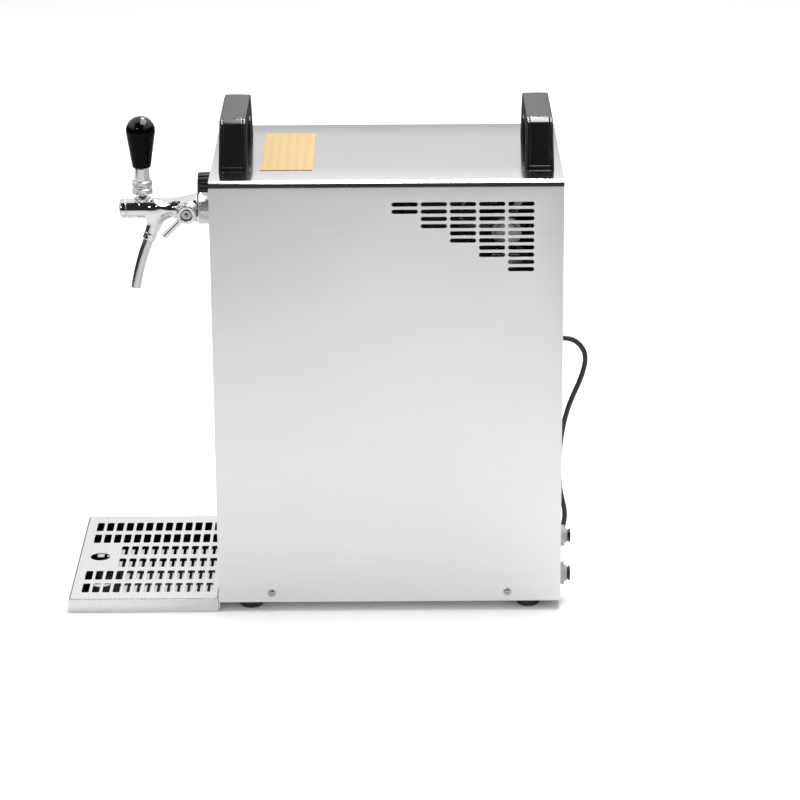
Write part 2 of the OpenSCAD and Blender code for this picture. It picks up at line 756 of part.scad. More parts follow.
module valve_plunger() {
  plunger_r = valve_bore_r - valve_gap;
  front = cap_l + 1.5 - tap_reach;
  rear = lever_y + 13;
  slot_half = tip_r + 0.35;
  flat_rear = 8;
  flat_front = 13;
  flat_z = 1.6;
  seal_y = seat_l - valve_back + 0.2;
  seal_t = 2;
  color(bright_steel) difference() {
    at_tap() {
      rod_y(plunger_r, front, rear);
      rod_y(seat_r - 1.6, rear, seal_y);
      rod_y(seat_r + 2.1, seal_y, seal_y + seal_t);
    }
    at_lever() {
      block([-barrel_r, -flat_front, flat_z], [barrel_r, flat_rear, barrel_r]);
      block([-tip_r - 1, -slot_half, -tip_r - 0.4], [tip_r + 1, slot_half, barrel_r]);
    }
  }
}

// Flow control: turning the side lever shifts a cone in the barrel
control_throw = 2;
control_pin_r = 1.5;
control_pin_x = 4.2;
spindle_x = 8.2;
recess_x = hub_x + control_gap + control_cap_l - recess_l;
module control_spindle() {
  head_h = recess_l - 1;
  color(bright_steel) at_control() {
    rod_x(spindle_r, spindle_x, recess_x);
    rod_x(spindle_r + 1, recess_x, recess_x + head_h);
    translate([0, 0, control_throw]) rod_x(control_pin_r, control_pin_x, spindle_x);
  }
}
module control_lever() {
  x0 = hub_x + control_gap;
  x1 = x0 + control_cap_l;
  recess_r = control_hub_r - 4.5;
  arm_r = 3.8;
  color(chrome) at_control() difference() {
    union() {
      rod_x(control_hub_r, x0, x1);
      rotate([45, 0, 0]) translate([(x0 + x1) / 2, 0, 0]) rod_y(arm_r, -control_l, 0);
    }
    rod_x(recess_r, recess_x, x1 + cut);
    rod_x(spindle_r + running_gap, 0, x1);
  }
}
module control_cone() {
  cone_l = 16;
  slot_half = control_pin_r + 0.4;
  color(black) at_control() difference() {
    cone_y(valve_bore_r - 2.6, valve_bore_r, -cone_l / 2, cone_l / 2);
    block([control_pin_x - 0.5, -slot_half, -barrel_r], [barrel_r, slot_half, barrel_r]);
  }
}

// Push-in fittings on the rear panel

fitting_x = side_x - fitting_inset;
drink_z = floor_gap + inlet_z;
air_z = floor_gap + outlet_z;
fitting_thread_r = 8.5;
fitting_in = 22;
fitting_flange_t = 5.5;
fitting_nut_t = 6;
fitting_nut_r = fitting_thread_r + 4;
notch_half = fitting_nut_r + 3;
collet_wall = 2.6;
collet_head_t = 2.2;
collet_l = 12;
module at_fitting(z) {
  translate([fitting_x, rear_y, z]) children();
}
module fitting(z, hose_r, flange_r) {
  bore_r = hose_r + collet_wall + hole_gap;
  ring_end = fitting_reach - collet_head_t - collet_travel - 0.2;
  at_fitting(z) difference() {
    union() {
      rod_y(fitting_thread_r, -fitting_in, 0);
      rod_y(flange_r, 0, fitting_flange_t);
      rod_y(flange_r - 4, fitting_flange_t, ring_end);
    }
    rod_y(bore_r, ring_end - collet_l - collet_travel, ring_end + cut);
    rod_y(hose_r + hose_gap, -fitting_in + 4, 0);
    rod_y(hose_r - 1, -fitting_in - cut, 0);
  }
}
module collet(z, hose_r) {
  head_y = fitting_reach - collet_head_t;
  at_fitting(z) difference() {
    union() {
      rod_y(hose_r + collet_wall, head_y - collet_l, head_y);
      rod_y(hose_r + collet_wall + 1.4, head_y, fitting_reach);
    }
    rod_y(hose_r + hose_gap, head_y - collet_l - cut, fitting_reach + cut);
  }
}
drink_flange_r = 13.4;
air_flange_r = 12.5;
module drink_inlet() {
  color(fitting_grey) fitting(drink_z, drink_hose_r, drink_flange_r);
}
module air_outlet() {
  color(fitting_grey) fitting(air_z, air_hose_r, air_flange_r);
}
module drink_inlet_collet() {
  color(black) collet(drink_z, drink_hose_r);
}
module air_outlet_collet() {
  color(black) collet(air_z, air_hose_r);
}
module fitting_nuts() {
  color(fitting_grey) for (z = [drink_z, air_z]) at_fitting(z) difference() {
    translate([0, -sheet_t, 0]) rotate([90, 0, 0]) cylinder(r = fitting_nut_r, h = fitting_nut_t, $fn = 6);
    rod_y(fitting_thread_r + hole_gap / 2, -fitting_in, 0);
  }
}

// Mains lead: gland, free stretch, coil, tail and plug

gland_neck_r = 7;
gland_in = 14;
module at_gland() {
  translate([0, rear_y, floor_gap + gland_z]) children();
}
module cord_gland() {
  rim_r = 8.6;
  rim_t = 2.4;
  color(black) at_gland() difference() {
    union() {
      rod_y(gland_neck_r, -sheet_t, 0);
      cone_y(gland_neck_r - 1.6, gland_neck_r, -gland_in, -sheet_t);
      rod_y(rim_r, 0, rim_t);
      cone_y(rim_r - 1.2, cord_r + 1.8, rim_t, gland_reach);
    }
    rod_y(cord_r, -gland_in - cut, gland_reach - 2);
  }
}
cord_route = [
  [0, rear_y + gland_reach, floor_gap + gland_z], [0, 290, 291], [0, 297.9, 289.8], [0, 305, 286.2],
  [0, 310.7, 280.5], [0, 314.4, 273.4], [0, 315.7, 265.4],
  [0, 314.8, 256.5], [0, 312, 245.5], [0, 307.5, 233], [0, 302, 220], [0, 297, 206.5], [0, 293, 192.5],
  [0, 290, 178], [0, 287.8, 163], [0, 286.4, 147], [0, 286, 130], [0, 286.4, 114], [0, 287.8, 99],
  [0, 290.5, 86], [0, 292.8, 75], [0, 293.2, 64], [0, 291.4, 53], [-2, 288.8, 42], [-7, 287, 31.5],
  [-15, 286.6, 22], [-25, 286.8, 14], [-37, 287, 8], [-51, 287.2, 4.8], [-66, 287.6, 4.2],
  [-84, 288.2, 4.2], [-104, 289, 4.2], [-124, 289.6, 4.2], [-144, 290, 4.2], [-166, 290, 4.2], [-184,
    290, 4.2]
];
module power_cord() {
  color(black) tube(cord_route, cord_r, 10);
}
// The coil spirals in on the floor, climbs a layer in half a turn and spirals out again
coil_start = cord_route[len(cord_route) - 1];
coil_inner_r = 28.5;
coil_step = 6.8;
coil_turns = 2.4;
coil_rings = 24;
coil_outer_r = coil_inner_r + coil_step * coil_turns;
coil_lead = 2 * cord_r;
coil_centre = [coil_start.x - coil_lead, coil_start.y - coil_outer_r];
coil_total = 2 * coil_turns + 0.5;
function coil_r(t) =
  t <= coil_turns ? coil_outer_r - coil_step * t :
  t >= coil_turns + 0.5 ? coil_inner_r + coil_step * (t - coil_turns - 0.5) :
  let (s = 2 * (t - coil_turns)) coil_inner_r - 0.5 * coil_step * s * (1 - s);
function coil_z(t) =
  let (s = min(max(2 * (t - coil_turns), 0), 1)) coil_start.z + coil_step * s * s * (3 - 2 * s);
function coil_point(t) =
  let (a = 90 + 360 * t) [coil_centre.x + coil_r(t) * cos(a), coil_centre.y + coil_r(t) * sin(a),
    coil_z(t)];
coil_steps = ceil(coil_total * coil_rings);
coil_loops = [for (i = [0:coil_steps]) coil_point(coil_total * i / coil_steps)];
coil_last = coil_loops[coil_steps];
coil_heading = let (a = 90 + 360 * coil_total) [-sin(a), cos(a), 0];
coil_end = coil_last + coil_lead * coil_heading;
coil_path = concat([coil_start], coil_loops, [coil_end]);
coil_apart = coil_rings * 3 / 4;
coil_least = min([for (i = [0:coil_steps], j = [0:coil_steps])
  if (j - i > coil_apart) norm(coil_loops[i] - coil_loops[j])]) - 2 * cord_r;
echo(coil_least_gap = coil_least);
module cord_coil() {
  color(black) tube(coil_path, cord_r, 6);
}
plug_x = -220;
plug_back = 154;
plug_axis_z = 18.8;
tail_route = concat([coil_end, coil_end + coil_lead * coil_heading], [
  [-226.8, 209.5, 11.6], [-224.9, 199.5, 13], [-223, 189.5, 14.9], [-221.4, 179.5, 16.8],
  [-220.4, 169.5, 18.2], [plug_x, plug_back + 6, plug_axis_z], [plug_x, plug_back, plug_axis_z]
]);
module cord_tail() {
  color(black) tube(tail_route, cord_r, 8);
}
// A strap round the coil's windings on the side next to the cabinet
module cord_tie() {
  strap_t = 0.8;
  strap_w = 8;
  strap_gap = 0.5;
  x0 = coil_inner_r - coil_step / 2 - cord_r - strap_gap;
  x1 = coil_outer_r + cord_r + strap_gap;
  z0 = coil_start.z - cord_r - strap_gap / 2;
  z1 = coil_start.z + coil_step + cord_r + strap_gap;
  color(rubber) translate([coil_centre.x, coil_centre.y, 0]) difference() {
    block([x0 - strap_t, -strap_w / 2, z0 - strap_t], [x1 + strap_t, strap_w / 2, z1 + strap_t]);
    block([x0, -strap_w, z0], [x1, strap_w, z1]);
  }
}
plug_relief_l = 28;
plug_neck_l = 22;
plug_head_l = 20;
plug_head_r = 18.5;
plug_l = plug_relief_l + plug_neck_l + plug_head_l;
pin_r = 2.4;
pin_l = 19;
pin_pitch = 19;
module at_plug() {
  translate([plug_x, plug_back, plug_axis_z]) children();
}
module mains_plug() {
  color(black) at_plug() difference() {
    union() {
      cone_y(8, cord_r + 1.2, -plug_relief_l, 0);
      cone_y(plug_head_r - 3, 10, -plug_relief_l - plug_neck_l, -plug_relief_l);
      rod_y(plug_head_r, -plug_l, -plug_relief_l - plug_neck_l);
    }
    for (s = [-1, 1]) translate([s * pin_pitch / 2, 0, 0]) rod_y(pin_r, -plug_l - cut, -plug_l + 8);
  }
}
module plug_pins() {
  color(bright_steel) at_plug() for (s = [-1, 1])
    translate([s * pin_pitch / 2, 0, 0]) rod_y(pin_r, -plug_l - pin_l, -plug_l + 8);
}

// Drip tray and grate

tray_w = cabinet_w - 2 * tray_inset;
tray_rear = front_y - tray_gap;
tray_front = tray_rear - tray_d;
module drip_tray() {
  color(bright_steel) difference() {
    block([-tray_w / 2, tray_front, 0], [tray_w / 2, tray_rear, tray_h]);
    block([-tray_w / 2 + sheet_t, tray_front + sheet_t, sheet_t], [tray_w / 2 - sheet_t,
      tray_rear - sheet_t, tray_h + cut]);
  }
}
module grate_slot() {
  x = grate_slot_l / 2 - grate_slot_r;
  y = grate_slot_w / 2 - grate_slot_r;
  polygon([for (k = [0:3]) each arc([x * [1, -1, -1, 1][k], y * [1, 1, -1, -1][k]], grate_slot_r, 90 * k,
    90 * k + 90, 3)]);
}
module grate_outline() {
  first = tray_front + grate_margin;
  solid_front = ceil((finger_back + finger_r + grate_slot_w / 2 - grate_margin) / grate_pitch_y);
  for (row = [0:2], s = [-1, 1], k = [(row == 0 ? solid_front : 0):grate_slots_y - 1])
    translate([s * (row + 0.5) * grate_pitch_x, first + k * grate_pitch_y]) grate_slot();
}
module drip_grate() {
  lip_h = 5;
  inset = sheet_t + grate_gap;
  x1 = tray_w / 2 - inset;
  y0 = tray_front + inset;
  y1 = tray_rear - inset;
  color(bright_steel) difference() {
    block([-x1, y0, sheet_t], [x1, y1, tray_h]);
    block([-x1 + sheet_t, y0 + sheet_t, 0], [x1 - sheet_t, y1 - sheet_t, tray_h - sheet_t]);
    block([-x1 + sheet_t, y0 - cut, 0], [x1 - sheet_t, y1 + cut, tray_h - lip_h]);
    translate([0, 0, tray_h - 2 * sheet_t]) linear_extrude(3 * sheet_t) grate_outline();
    translate([0, tray_front + finger_back, 0]) rod_z(finger_r, tray_h - 2 * sheet_t, tray_h + cut);
  }
}

// Cooling unit inside the cabinet

jacket_y0 = front_in + 12;
jacket_y1 = jacket_y0 + jacket_d;
jacket_top = base_top + jacket_h;
lid_t = 30;
foam_gap = 0.4;
stub_r = 5;
stub_z = jacket_top + 12;
block_y = (jacket_y0 + jacket_y1) / 2;
drink_out_stub = [0, block_y - 18];
drink_in_stub = [40, block_y + 8];
suction_stub = [-35, block_y + 8];
liquid_stub = [24, block_y + 34];
stubs = [drink_out_stub, drink_in_stub, suction_stub, liquid_stub];
module insulation() {
  color(foam) difference() {
    block([-jacket_w / 2, jacket_y0, base_top], [jacket_w / 2, jacket_y1, jacket_top - lid_t]);
    block([-jacket_w / 2 + foam_t, jacket_y0 + foam_t, base_top + foam_t],
      [jacket_w / 2 - foam_t, jacket_y1 - foam_t, jacket_top]);
  }
}
module insulation_lid() {
  color(foam) difference() {
    block([-jacket_w / 2, jacket_y0, jacket_top - lid_t], [jacket_w / 2, jacket_y1, jacket_top]);
    for (p = stubs) translate(p) rod_z(stub_r + hole_gap, jacket_top - lid_t - cut, jacket_top + cut);
  }
}
module cooler_block() {
  inset = foam_t + foam_gap;
  color(aluminium) {
    block([-jacket_w / 2 + inset, jacket_y0 + inset, base_top + foam_t],
      [jacket_w / 2 - inset, jacket_y1 - inset, jacket_top - lid_t - foam_gap]);
    for (p = stubs) translate(p) rod_z(stub_r, jacket_top - lid_t - 2, stub_z);
  }
}

compressor_x = compressor_r + 20 - side_x;
compressor_y = rear_in - compressor_r - 28;
grommet_h = 9;
grommet_r = 8;
plate_z = base_top + grommet_h;
plate_x = compressor_r - 6;
plate_y = compressor_r - 22;
compressor_plate_t = 3;
shell_z = plate_z + compressor_plate_t;
suction_z = shell_z + 90;
compressor_port = 8;
module at_compressor() {
  translate([compressor_x, compressor_y, 0]) children();
}
module compressor() {
  dome_h = 28;
  color(black) at_compressor() {
    block([-plate_x - grommet_r, -plate_y - grommet_r, plate_z], [plate_x + grommet_r,
      plate_y + grommet_r, shell_z]);
    rotate_extrude() polygon(concat(
      [[0, shell_z], [compressor_r, shell_z]],
      arc([compressor_r - dome_h, shell_z + compressor_h - dome_h], dome_h, 0, 90, 6),
      [[0, shell_z + compressor_h]]));
    translate([0, 0, suction_z]) rod_y(stub_r, -compressor_r - compressor_port, 0);
    translate([20, -20, 0]) rod_z(stub_r, shell_z + compressor_h - dome_h,
      shell_z + compressor_h + compressor_port);
  }
}
module compressor_grommets() {
  color(rubber) at_compressor() for (s = [-1, 1], t = [-1, 1])
    translate([s * plate_x, t * plate_y, 0]) rod_z(grommet_r, base_top, plate_z);
}

fan_y = rear_y - fan_inset_y;
fan_z = top_z - fan_inset_z;
motor_face_x = side_x - fan_inset_x;
motor_l = 38;
motor_r = 17;
bracket_t = 4;
ring_x = motor_face_x - motor_l - bracket_t;
fan_ring_l = 28;
shroud_t = 2;
shroud_x = ring_x - fan_ring_l - shroud_t;
fan_ring_r = fan_r + 5;
fan_clear = 3;
shaft_r = 3;
condenser_low = fan_z - condenser_pitch * (condenser_tubes - 1) / 2;
condenser_margin = 7;
tube_r = 4;
tube_y1 = rear_in - condenser_pitch / 2 - tube_r - 4;
tube_l = 116;
tube_y0 = tube_y1 - tube_l;
condenser_x = shroud_x - condenser_t / 2;
condenser_port_y = tube_y0 - condenser_pitch / 2 - tube_r - 1;
module at_fan() {
  translate([0, fan_y, fan_z]) children();
}
module at_condenser(row) {
  translate([condenser_x, 0, condenser_low + row * condenser_pitch]) children();
}
module condenser_fins() {
  fin_t = 0.8;
  pitch = (tube_l - 6) / (condenser_fins_n - 1);
  z0 = condenser_low - condenser_margin;
  z1 = condenser_low + condenser_pitch * (condenser_tubes - 1) + condenser_margin;
  color(aluminium) difference() {
    for (k = [0:condenser_fins_n - 1]) {
      y = tube_y0 + 3 + k * pitch - fin_t / 2;
      block([shroud_x - condenser_t, y, z0], [shroud_x, y + fin_t, z1]);
    }
    for (row = [0:condenser_tubes - 1]) at_condenser(row) rod_y(tube_r + hole_gap / 2, tube_y0, tube_y1);
  }
}
module condenser_bend(row, y, turned) {
  at_condenser(row) translate([0, y, condenser_pitch / 2]) rotate([90, 0, 90]) rotate([0, 0, turned])
    rotate_extrude(angle = 180) translate([condenser_pitch / 2, 0]) circle(r = tube_r);
}
module condenser_coil() {
  last = condenser_tubes - 1;
  color(copper) {
    for (row = [0:last]) at_condenser(row)
      rod_y(tube_r, row == 0 || row == last ? condenser_port_y : tube_y0, tube_y1);
    for (row = [0:2:last - 1]) condenser_bend(row, tube_y1, -90);
    for (row = [1:2:last - 1]) condenser_bend(row, tube_y0, 90);
  }
}
module fan_shroud() {
  plate_y0 = condenser_port_y - 2;
  rear_fold = 14;
  z0 = condenser_low - condenser_margin - 2;
  z1 = fan_z + fan_ring_r + 8;
  color(steel) difference() {
    union() {
      block([shroud_x, plate_y0, z0], [shroud_x + shroud_t, rear_in, z1]);
      block([shroud_x, rear_in - shroud_t, z0], [shroud_x + rear_fold, rear_in, z1]);
      at_fan() rod_x(fan_ring_r, shroud_x, ring_x);
    }
    at_fan() rod_x(fan_r + fan_clear, shroud_x - cut, ring_x + cut);
  }
}
module fan_motor() {
  arm_w = 8;
  color(steel) at_fan() difference() {
    union() {
      rod_x(motor_r, ring_x + 1, motor_face_x - 6);
      rod_x(motor_r - 5, motor_face_x - 6, motor_face_x);
      for (a = [90, 210, 330]) rotate([a, 0, 0])
        block([ring_x, -arm_w / 2, motor_r - 5], [ring_x + bracket_t, arm_w / 2, fan_ring_r]);
    }
    rod_x(shaft_r + running_gap, ring_x - cut, ring_x + 16);
  }
}
module fan_blade() {
  hub_r = 14;
  hub_l = 16;
  hub_x0 = ring_x - 4 - hub_l;
  blade_t = 1.6;
  blade_w = 24;
  color(black) at_fan() {
    rod_x(hub_r, hub_x0, hub_x0 + hub_l);
    rod_x(shaft_r, hub_x0 + hub_l, ring_x + 14);
    for (k = [0:fan_blades - 1]) rotate([360 * k / fan_blades, 0, 0]) intersection() {
      translate([hub_x0 + hub_l / 2, 0, 0]) rotate([0, 0, 35])
        block([-blade_t / 2, -blade_w / 2, hub_r - 4], [blade_t / 2, blade_w / 2, fan_r + blade_w]);
      rod_x(fan_r, hub_x0 - hub_l, hub_x0 + 2 * hub_l);
    }
  }
}

pump_x = 35;
pump_y = jacket_y1 + 49;
pump_size = [80, 68, 63];
pump_foot_h = 8;
pump_port_z = base_top + pump_foot_h + 39;
pump_port = [pump_x + 20, pump_y + pump_size.y / 2 + 10, pump_port_z];
module air_pump() {
  foot_x = pump_size.x / 2 - 10;
  foot_y = pump_size.y / 2 - 10;
  z0 = base_top + pump_foot_h;
  color(fitting_grey) translate([pump_x, pump_y, 0]) {
    block([-pump_size.x / 2, -pump_size.y / 2, z0], [pump_size.x / 2, pump_size.y / 2, z0 + pump_size.z]);
    for (s = [-1, 1], t = [-1, 1]) translate([s * foot_x, t * foot_y, 0]) rod_z(6, base_top, z0);
    translate([20, 0, pump_port_z]) rod_y(air_hose_r, 0, pump_size.y / 2 + 10);
  }
}

// Hoses: cooled drink to the tap, drink from the inlet, air to the outlet
shank_end = [0, front_y + shank_in, tap_z];
inlet_end = [fitting_x, rear_y - fitting_in, drink_z];
air_end = [fitting_x, rear_y - fitting_in, air_z];
side_lane = side_x - 29;
hose_rise = shank_end.y - drink_out_stub.y;
module hoses() {
  color(clear_hose) {
    tube(smooth([[0, drink_out_stub.y, stub_z], [0, drink_out_stub.y, stub_z + 20],
      [0, drink_out_stub.y, tap_z - 40], [0, drink_out_stub.y + hose_rise / 5, tap_z - 14],
      [0, drink_out_stub.y + hose_rise / 2, tap_z - 2], [0, shank_end.y + 8, tap_z], shank_end], 4),
        drink_hose_r, 8);
    tube(smooth([inlet_end, inlet_end - [0, 20, 0], [side_lane, jacket_y1 + 60, drink_z + 4],
      [side_lane, jacket_y1 + 10, drink_z + 40], [side_lane, jacket_y1 - 20, drink_z + 100],
      [side_lane, block_y + 25, jacket_top - 20], [side_lane - 12, block_y + 12, stub_z + 22],
      [drink_in_stub.x + 30, drink_in_stub.y, stub_z + 42], [drink_in_stub.x + 8, drink_in_stub.y,
        stub_z + 32],
      [drink_in_stub.x, drink_in_stub.y, stub_z + 14], [drink_in_stub.x, drink_in_stub.y, stub_z]], 4),
        drink_hose_r, 8);
    tube(smooth([pump_port, pump_port + [0, 12, 0], [pump_port.x + 8, pump_port.y + 38, pump_port_z + 3],
      [fitting_x - 22, air_end.y - 46, air_z - 8], [fitting_x - 4, air_end.y - 24, air_z - 1],
      air_end - [0, 10, 0], air_end], 4), air_hose_r, 8);
  }
}

// Refrigerant lines, with the filter drier clipped to the foam
drier_r = 10;
drier_low = base_top + 210;
drier_l = 75;
drier_y = jacket_y1 + drier_r + foam_gap;
drier_x = 45;
line_r = 3;
capillary_r = 1.5;
hot_port = [compressor_x + 20, compressor_y - 20, shell_z + compressor_h + compressor_port];
cold_port = [compressor_x, compressor_y - compressor_r - compressor_port, suction_z];
condenser_in = [condenser_x, condenser_port_y, condenser_low + condenser_pitch * (condenser_tubes - 1)];
condenser_out = [condenser_x, condenser_port_y, condenser_low];
module refrigerant_lines() {
  color(copper) {
    translate([drier_x, drier_y, drier_low]) cylinder(r = drier_r, h = drier_l);
    tube(smooth([hot_port, hot_port + [0, 0, 15], hot_port + [0, -20, 60], [hot_port.x + 10,
      condenser_in.y - 35, condenser_in.z - 120],
      [condenser_in.x - 4, condenser_in.y - 32, condenser_in.z - 20], [condenser_in.x,
        condenser_in.y - 14, condenser_in.z - 2],
      condenser_in - [0, 6, 0], condenser_in], 4), line_r, 8);
    tube(smooth([condenser_out, condenser_out - [0, 8, 0], [condenser_out.x + 10, condenser_out.y - 28,
      condenser_out.z - 8],
      [drier_x - 6, drier_y + 12, drier_low + drier_l + 40], [drier_x, drier_y, drier_low + drier_l + 15],
      [drier_x, drier_y, drier_low + drier_l]], 4), line_r, 8);
    tube(smooth([[drier_x, drier_y, drier_low], [drier_x, drier_y, drier_low - 12], [drier_x + 12,
      drier_y + 6, drier_low - 24],
      [drier_x + 24, drier_y + 6, drier_low], [drier_x + 22, drier_y + 2, jacket_top - 30],
      [drier_x + 12, jacket_y1 - 10, stub_z + 12], [liquid_stub.x + 8, liquid_stub.y + 6, stub_z + 20],
      [liquid_stub.x, liquid_stub.y, stub_z + 8], [liquid_stub.x, liquid_stub.y, stub_z]], 4),
        capillary_r, 6);
    tube(smooth([[suction_stub.x, suction_stub.y, stub_z], [suction_stub.x, suction_stub.y, stub_z + 10],
      [suction_stub.x - 2, suction_stub.y + 14, stub_z + 30], [suction_stub.x - 8, jacket_y1 - 4,
        stub_z + 24],
      [suction_stub.x - 14, jacket_y1 + 24, jacket_top - 60], [cold_port.x, jacket_y1 + 34,
        cold_port.z + 40],
      [cold_port.x, cold_port.y - 24, cold_port.z + 4], cold_port - [0, 8, 0], cold_port], 4), line_r, 8);
  }
}
module terminal_box() {
  half_w = 32;
  depth = 32;
  half_h = 29;
  wall = 2;
  color(black) at_gland() {
    difference() {
      block([-half_w, -sheet_t - depth, -half_h], [half_w, -sheet_t, half_h]);
      block([-half_w + wall, -sheet_t - depth + wall, -half_h + wall], [half_w - wall, cut, half_h - wall]);
    }
    block([-half_w / 2, -sheet_t - depth + wall, -half_h + wall], [half_w / 2, -gland_in - 4,
      -gland_neck_r - 2]);
  }
}

cover_shell();
front_panel();
rear_panel();
base_pan();
feet();
foot_bolts();
case_screws();
handle_front();
handle_rear();
handle_caps();
handle_screws();
veneer_plate();
thermostat_knob();
thermostat_shaft();
thermostat_body();
tap_shank();
shank_nut();
coupling_nut();
tap_body();
tap_cap();
tap_spout();
lever_pin();
lever_stem();
lever_collar();
lever_lock_nut();
lever_ferrule();
tap_knob();
valve_plunger();
control_cone();
control_spindle();
control_lever();
drink_inlet();
air_outlet();
fitting_nuts();
drink_inlet_collet();
air_outlet_collet();
cord_gland();
power_cord();
cord_coil();
cord_tail();
cord_tie();
mains_plug();
plug_pins();
drip_tray();
drip_grate();
compressor();
compressor_grommets();
condenser_fins();
condenser_coil();
fan_shroud();
fan_motor();
fan_blade();
insulation();
insulation_lid();
cooler_block();
air_pump();
hoses();
refrigerant_lines();
terminal_box();
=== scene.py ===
"""Looks of the drink cooler: camera, mains lead, detailed pieces, materials and studio light.

Everything is in metres in the part's own frame: the front faces -Y, +X is the side that is seen, Z is up.
Sizes inside the shape functions are in millimetres, measured from the place that a piece is built at.
"""
import json
import math

import bpy
import numpy as np
from mathutils import Matrix, Vector


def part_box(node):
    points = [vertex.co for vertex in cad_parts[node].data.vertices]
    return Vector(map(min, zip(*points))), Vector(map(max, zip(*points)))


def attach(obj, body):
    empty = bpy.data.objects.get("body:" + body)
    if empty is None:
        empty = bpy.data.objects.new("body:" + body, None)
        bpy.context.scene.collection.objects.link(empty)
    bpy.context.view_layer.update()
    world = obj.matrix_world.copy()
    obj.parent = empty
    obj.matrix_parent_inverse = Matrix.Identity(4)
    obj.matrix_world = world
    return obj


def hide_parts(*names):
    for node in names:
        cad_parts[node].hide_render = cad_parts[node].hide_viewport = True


MM = 0.001

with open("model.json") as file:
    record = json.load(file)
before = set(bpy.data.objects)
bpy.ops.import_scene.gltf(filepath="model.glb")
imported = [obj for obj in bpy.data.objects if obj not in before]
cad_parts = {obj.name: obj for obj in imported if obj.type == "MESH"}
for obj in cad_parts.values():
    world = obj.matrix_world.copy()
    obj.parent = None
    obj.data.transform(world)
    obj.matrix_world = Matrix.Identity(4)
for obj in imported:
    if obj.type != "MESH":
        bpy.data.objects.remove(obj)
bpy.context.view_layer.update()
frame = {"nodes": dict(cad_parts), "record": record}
nodes = frame["nodes"]


def middle(node):
    """Centre of a CAD node's box."""
    low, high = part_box(node)
    return (low + high) / 2


def extent(node):
    """Size of a CAD node's box, in millimetres."""
    low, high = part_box(node)
    return (high - low) / MM


# Camera, fitted to the corners of the cabinet in the photograph

CAMERA_AT = (3.6014, 0.1000, 1.4401)
CAMERA_PITCH = math.radians(18.79)
CAMERA_YAW = math.radians(-0.07)
CAMERA_ROLL = math.radians(-0.387)
CAMERA_LENS = 143.63
CAMERA_SENSOR = 36


def make_camera():
    """The photograph's camera: it looks along -X, tilted down."""
    data = bpy.data.cameras.new("camera")
    data.lens = CAMERA_LENS
    data.sensor_width = CAMERA_SENSOR
    data.clip_end = 100
    camera = bpy.data.objects.new("camera", data)
    ahead = Vector((
        -math.cos(CAMERA_PITCH) * math.cos(CAMERA_YAW),
        math.cos(CAMERA_PITCH) * math.sin(CAMERA_YAW),
        -math.sin(CAMERA_PITCH)))
    level = Vector((math.sin(CAMERA_YAW), math.cos(CAMERA_YAW), 0))
    upward = level.cross(ahead)
    right = math.cos(CAMERA_ROLL) * level + math.sin(CAMERA_ROLL) * upward
    up = math.cos(CAMERA_ROLL) * upward - math.sin(CAMERA_ROLL) * level
    turn = Matrix((right, up, -ahead)).transposed().to_4x4()
    camera.matrix_world = Matrix.Translation(CAMERA_AT) @ turn
    bpy.context.scene.collection.objects.link(camera)
    bpy.context.scene.camera = camera


make_camera()


# Materials

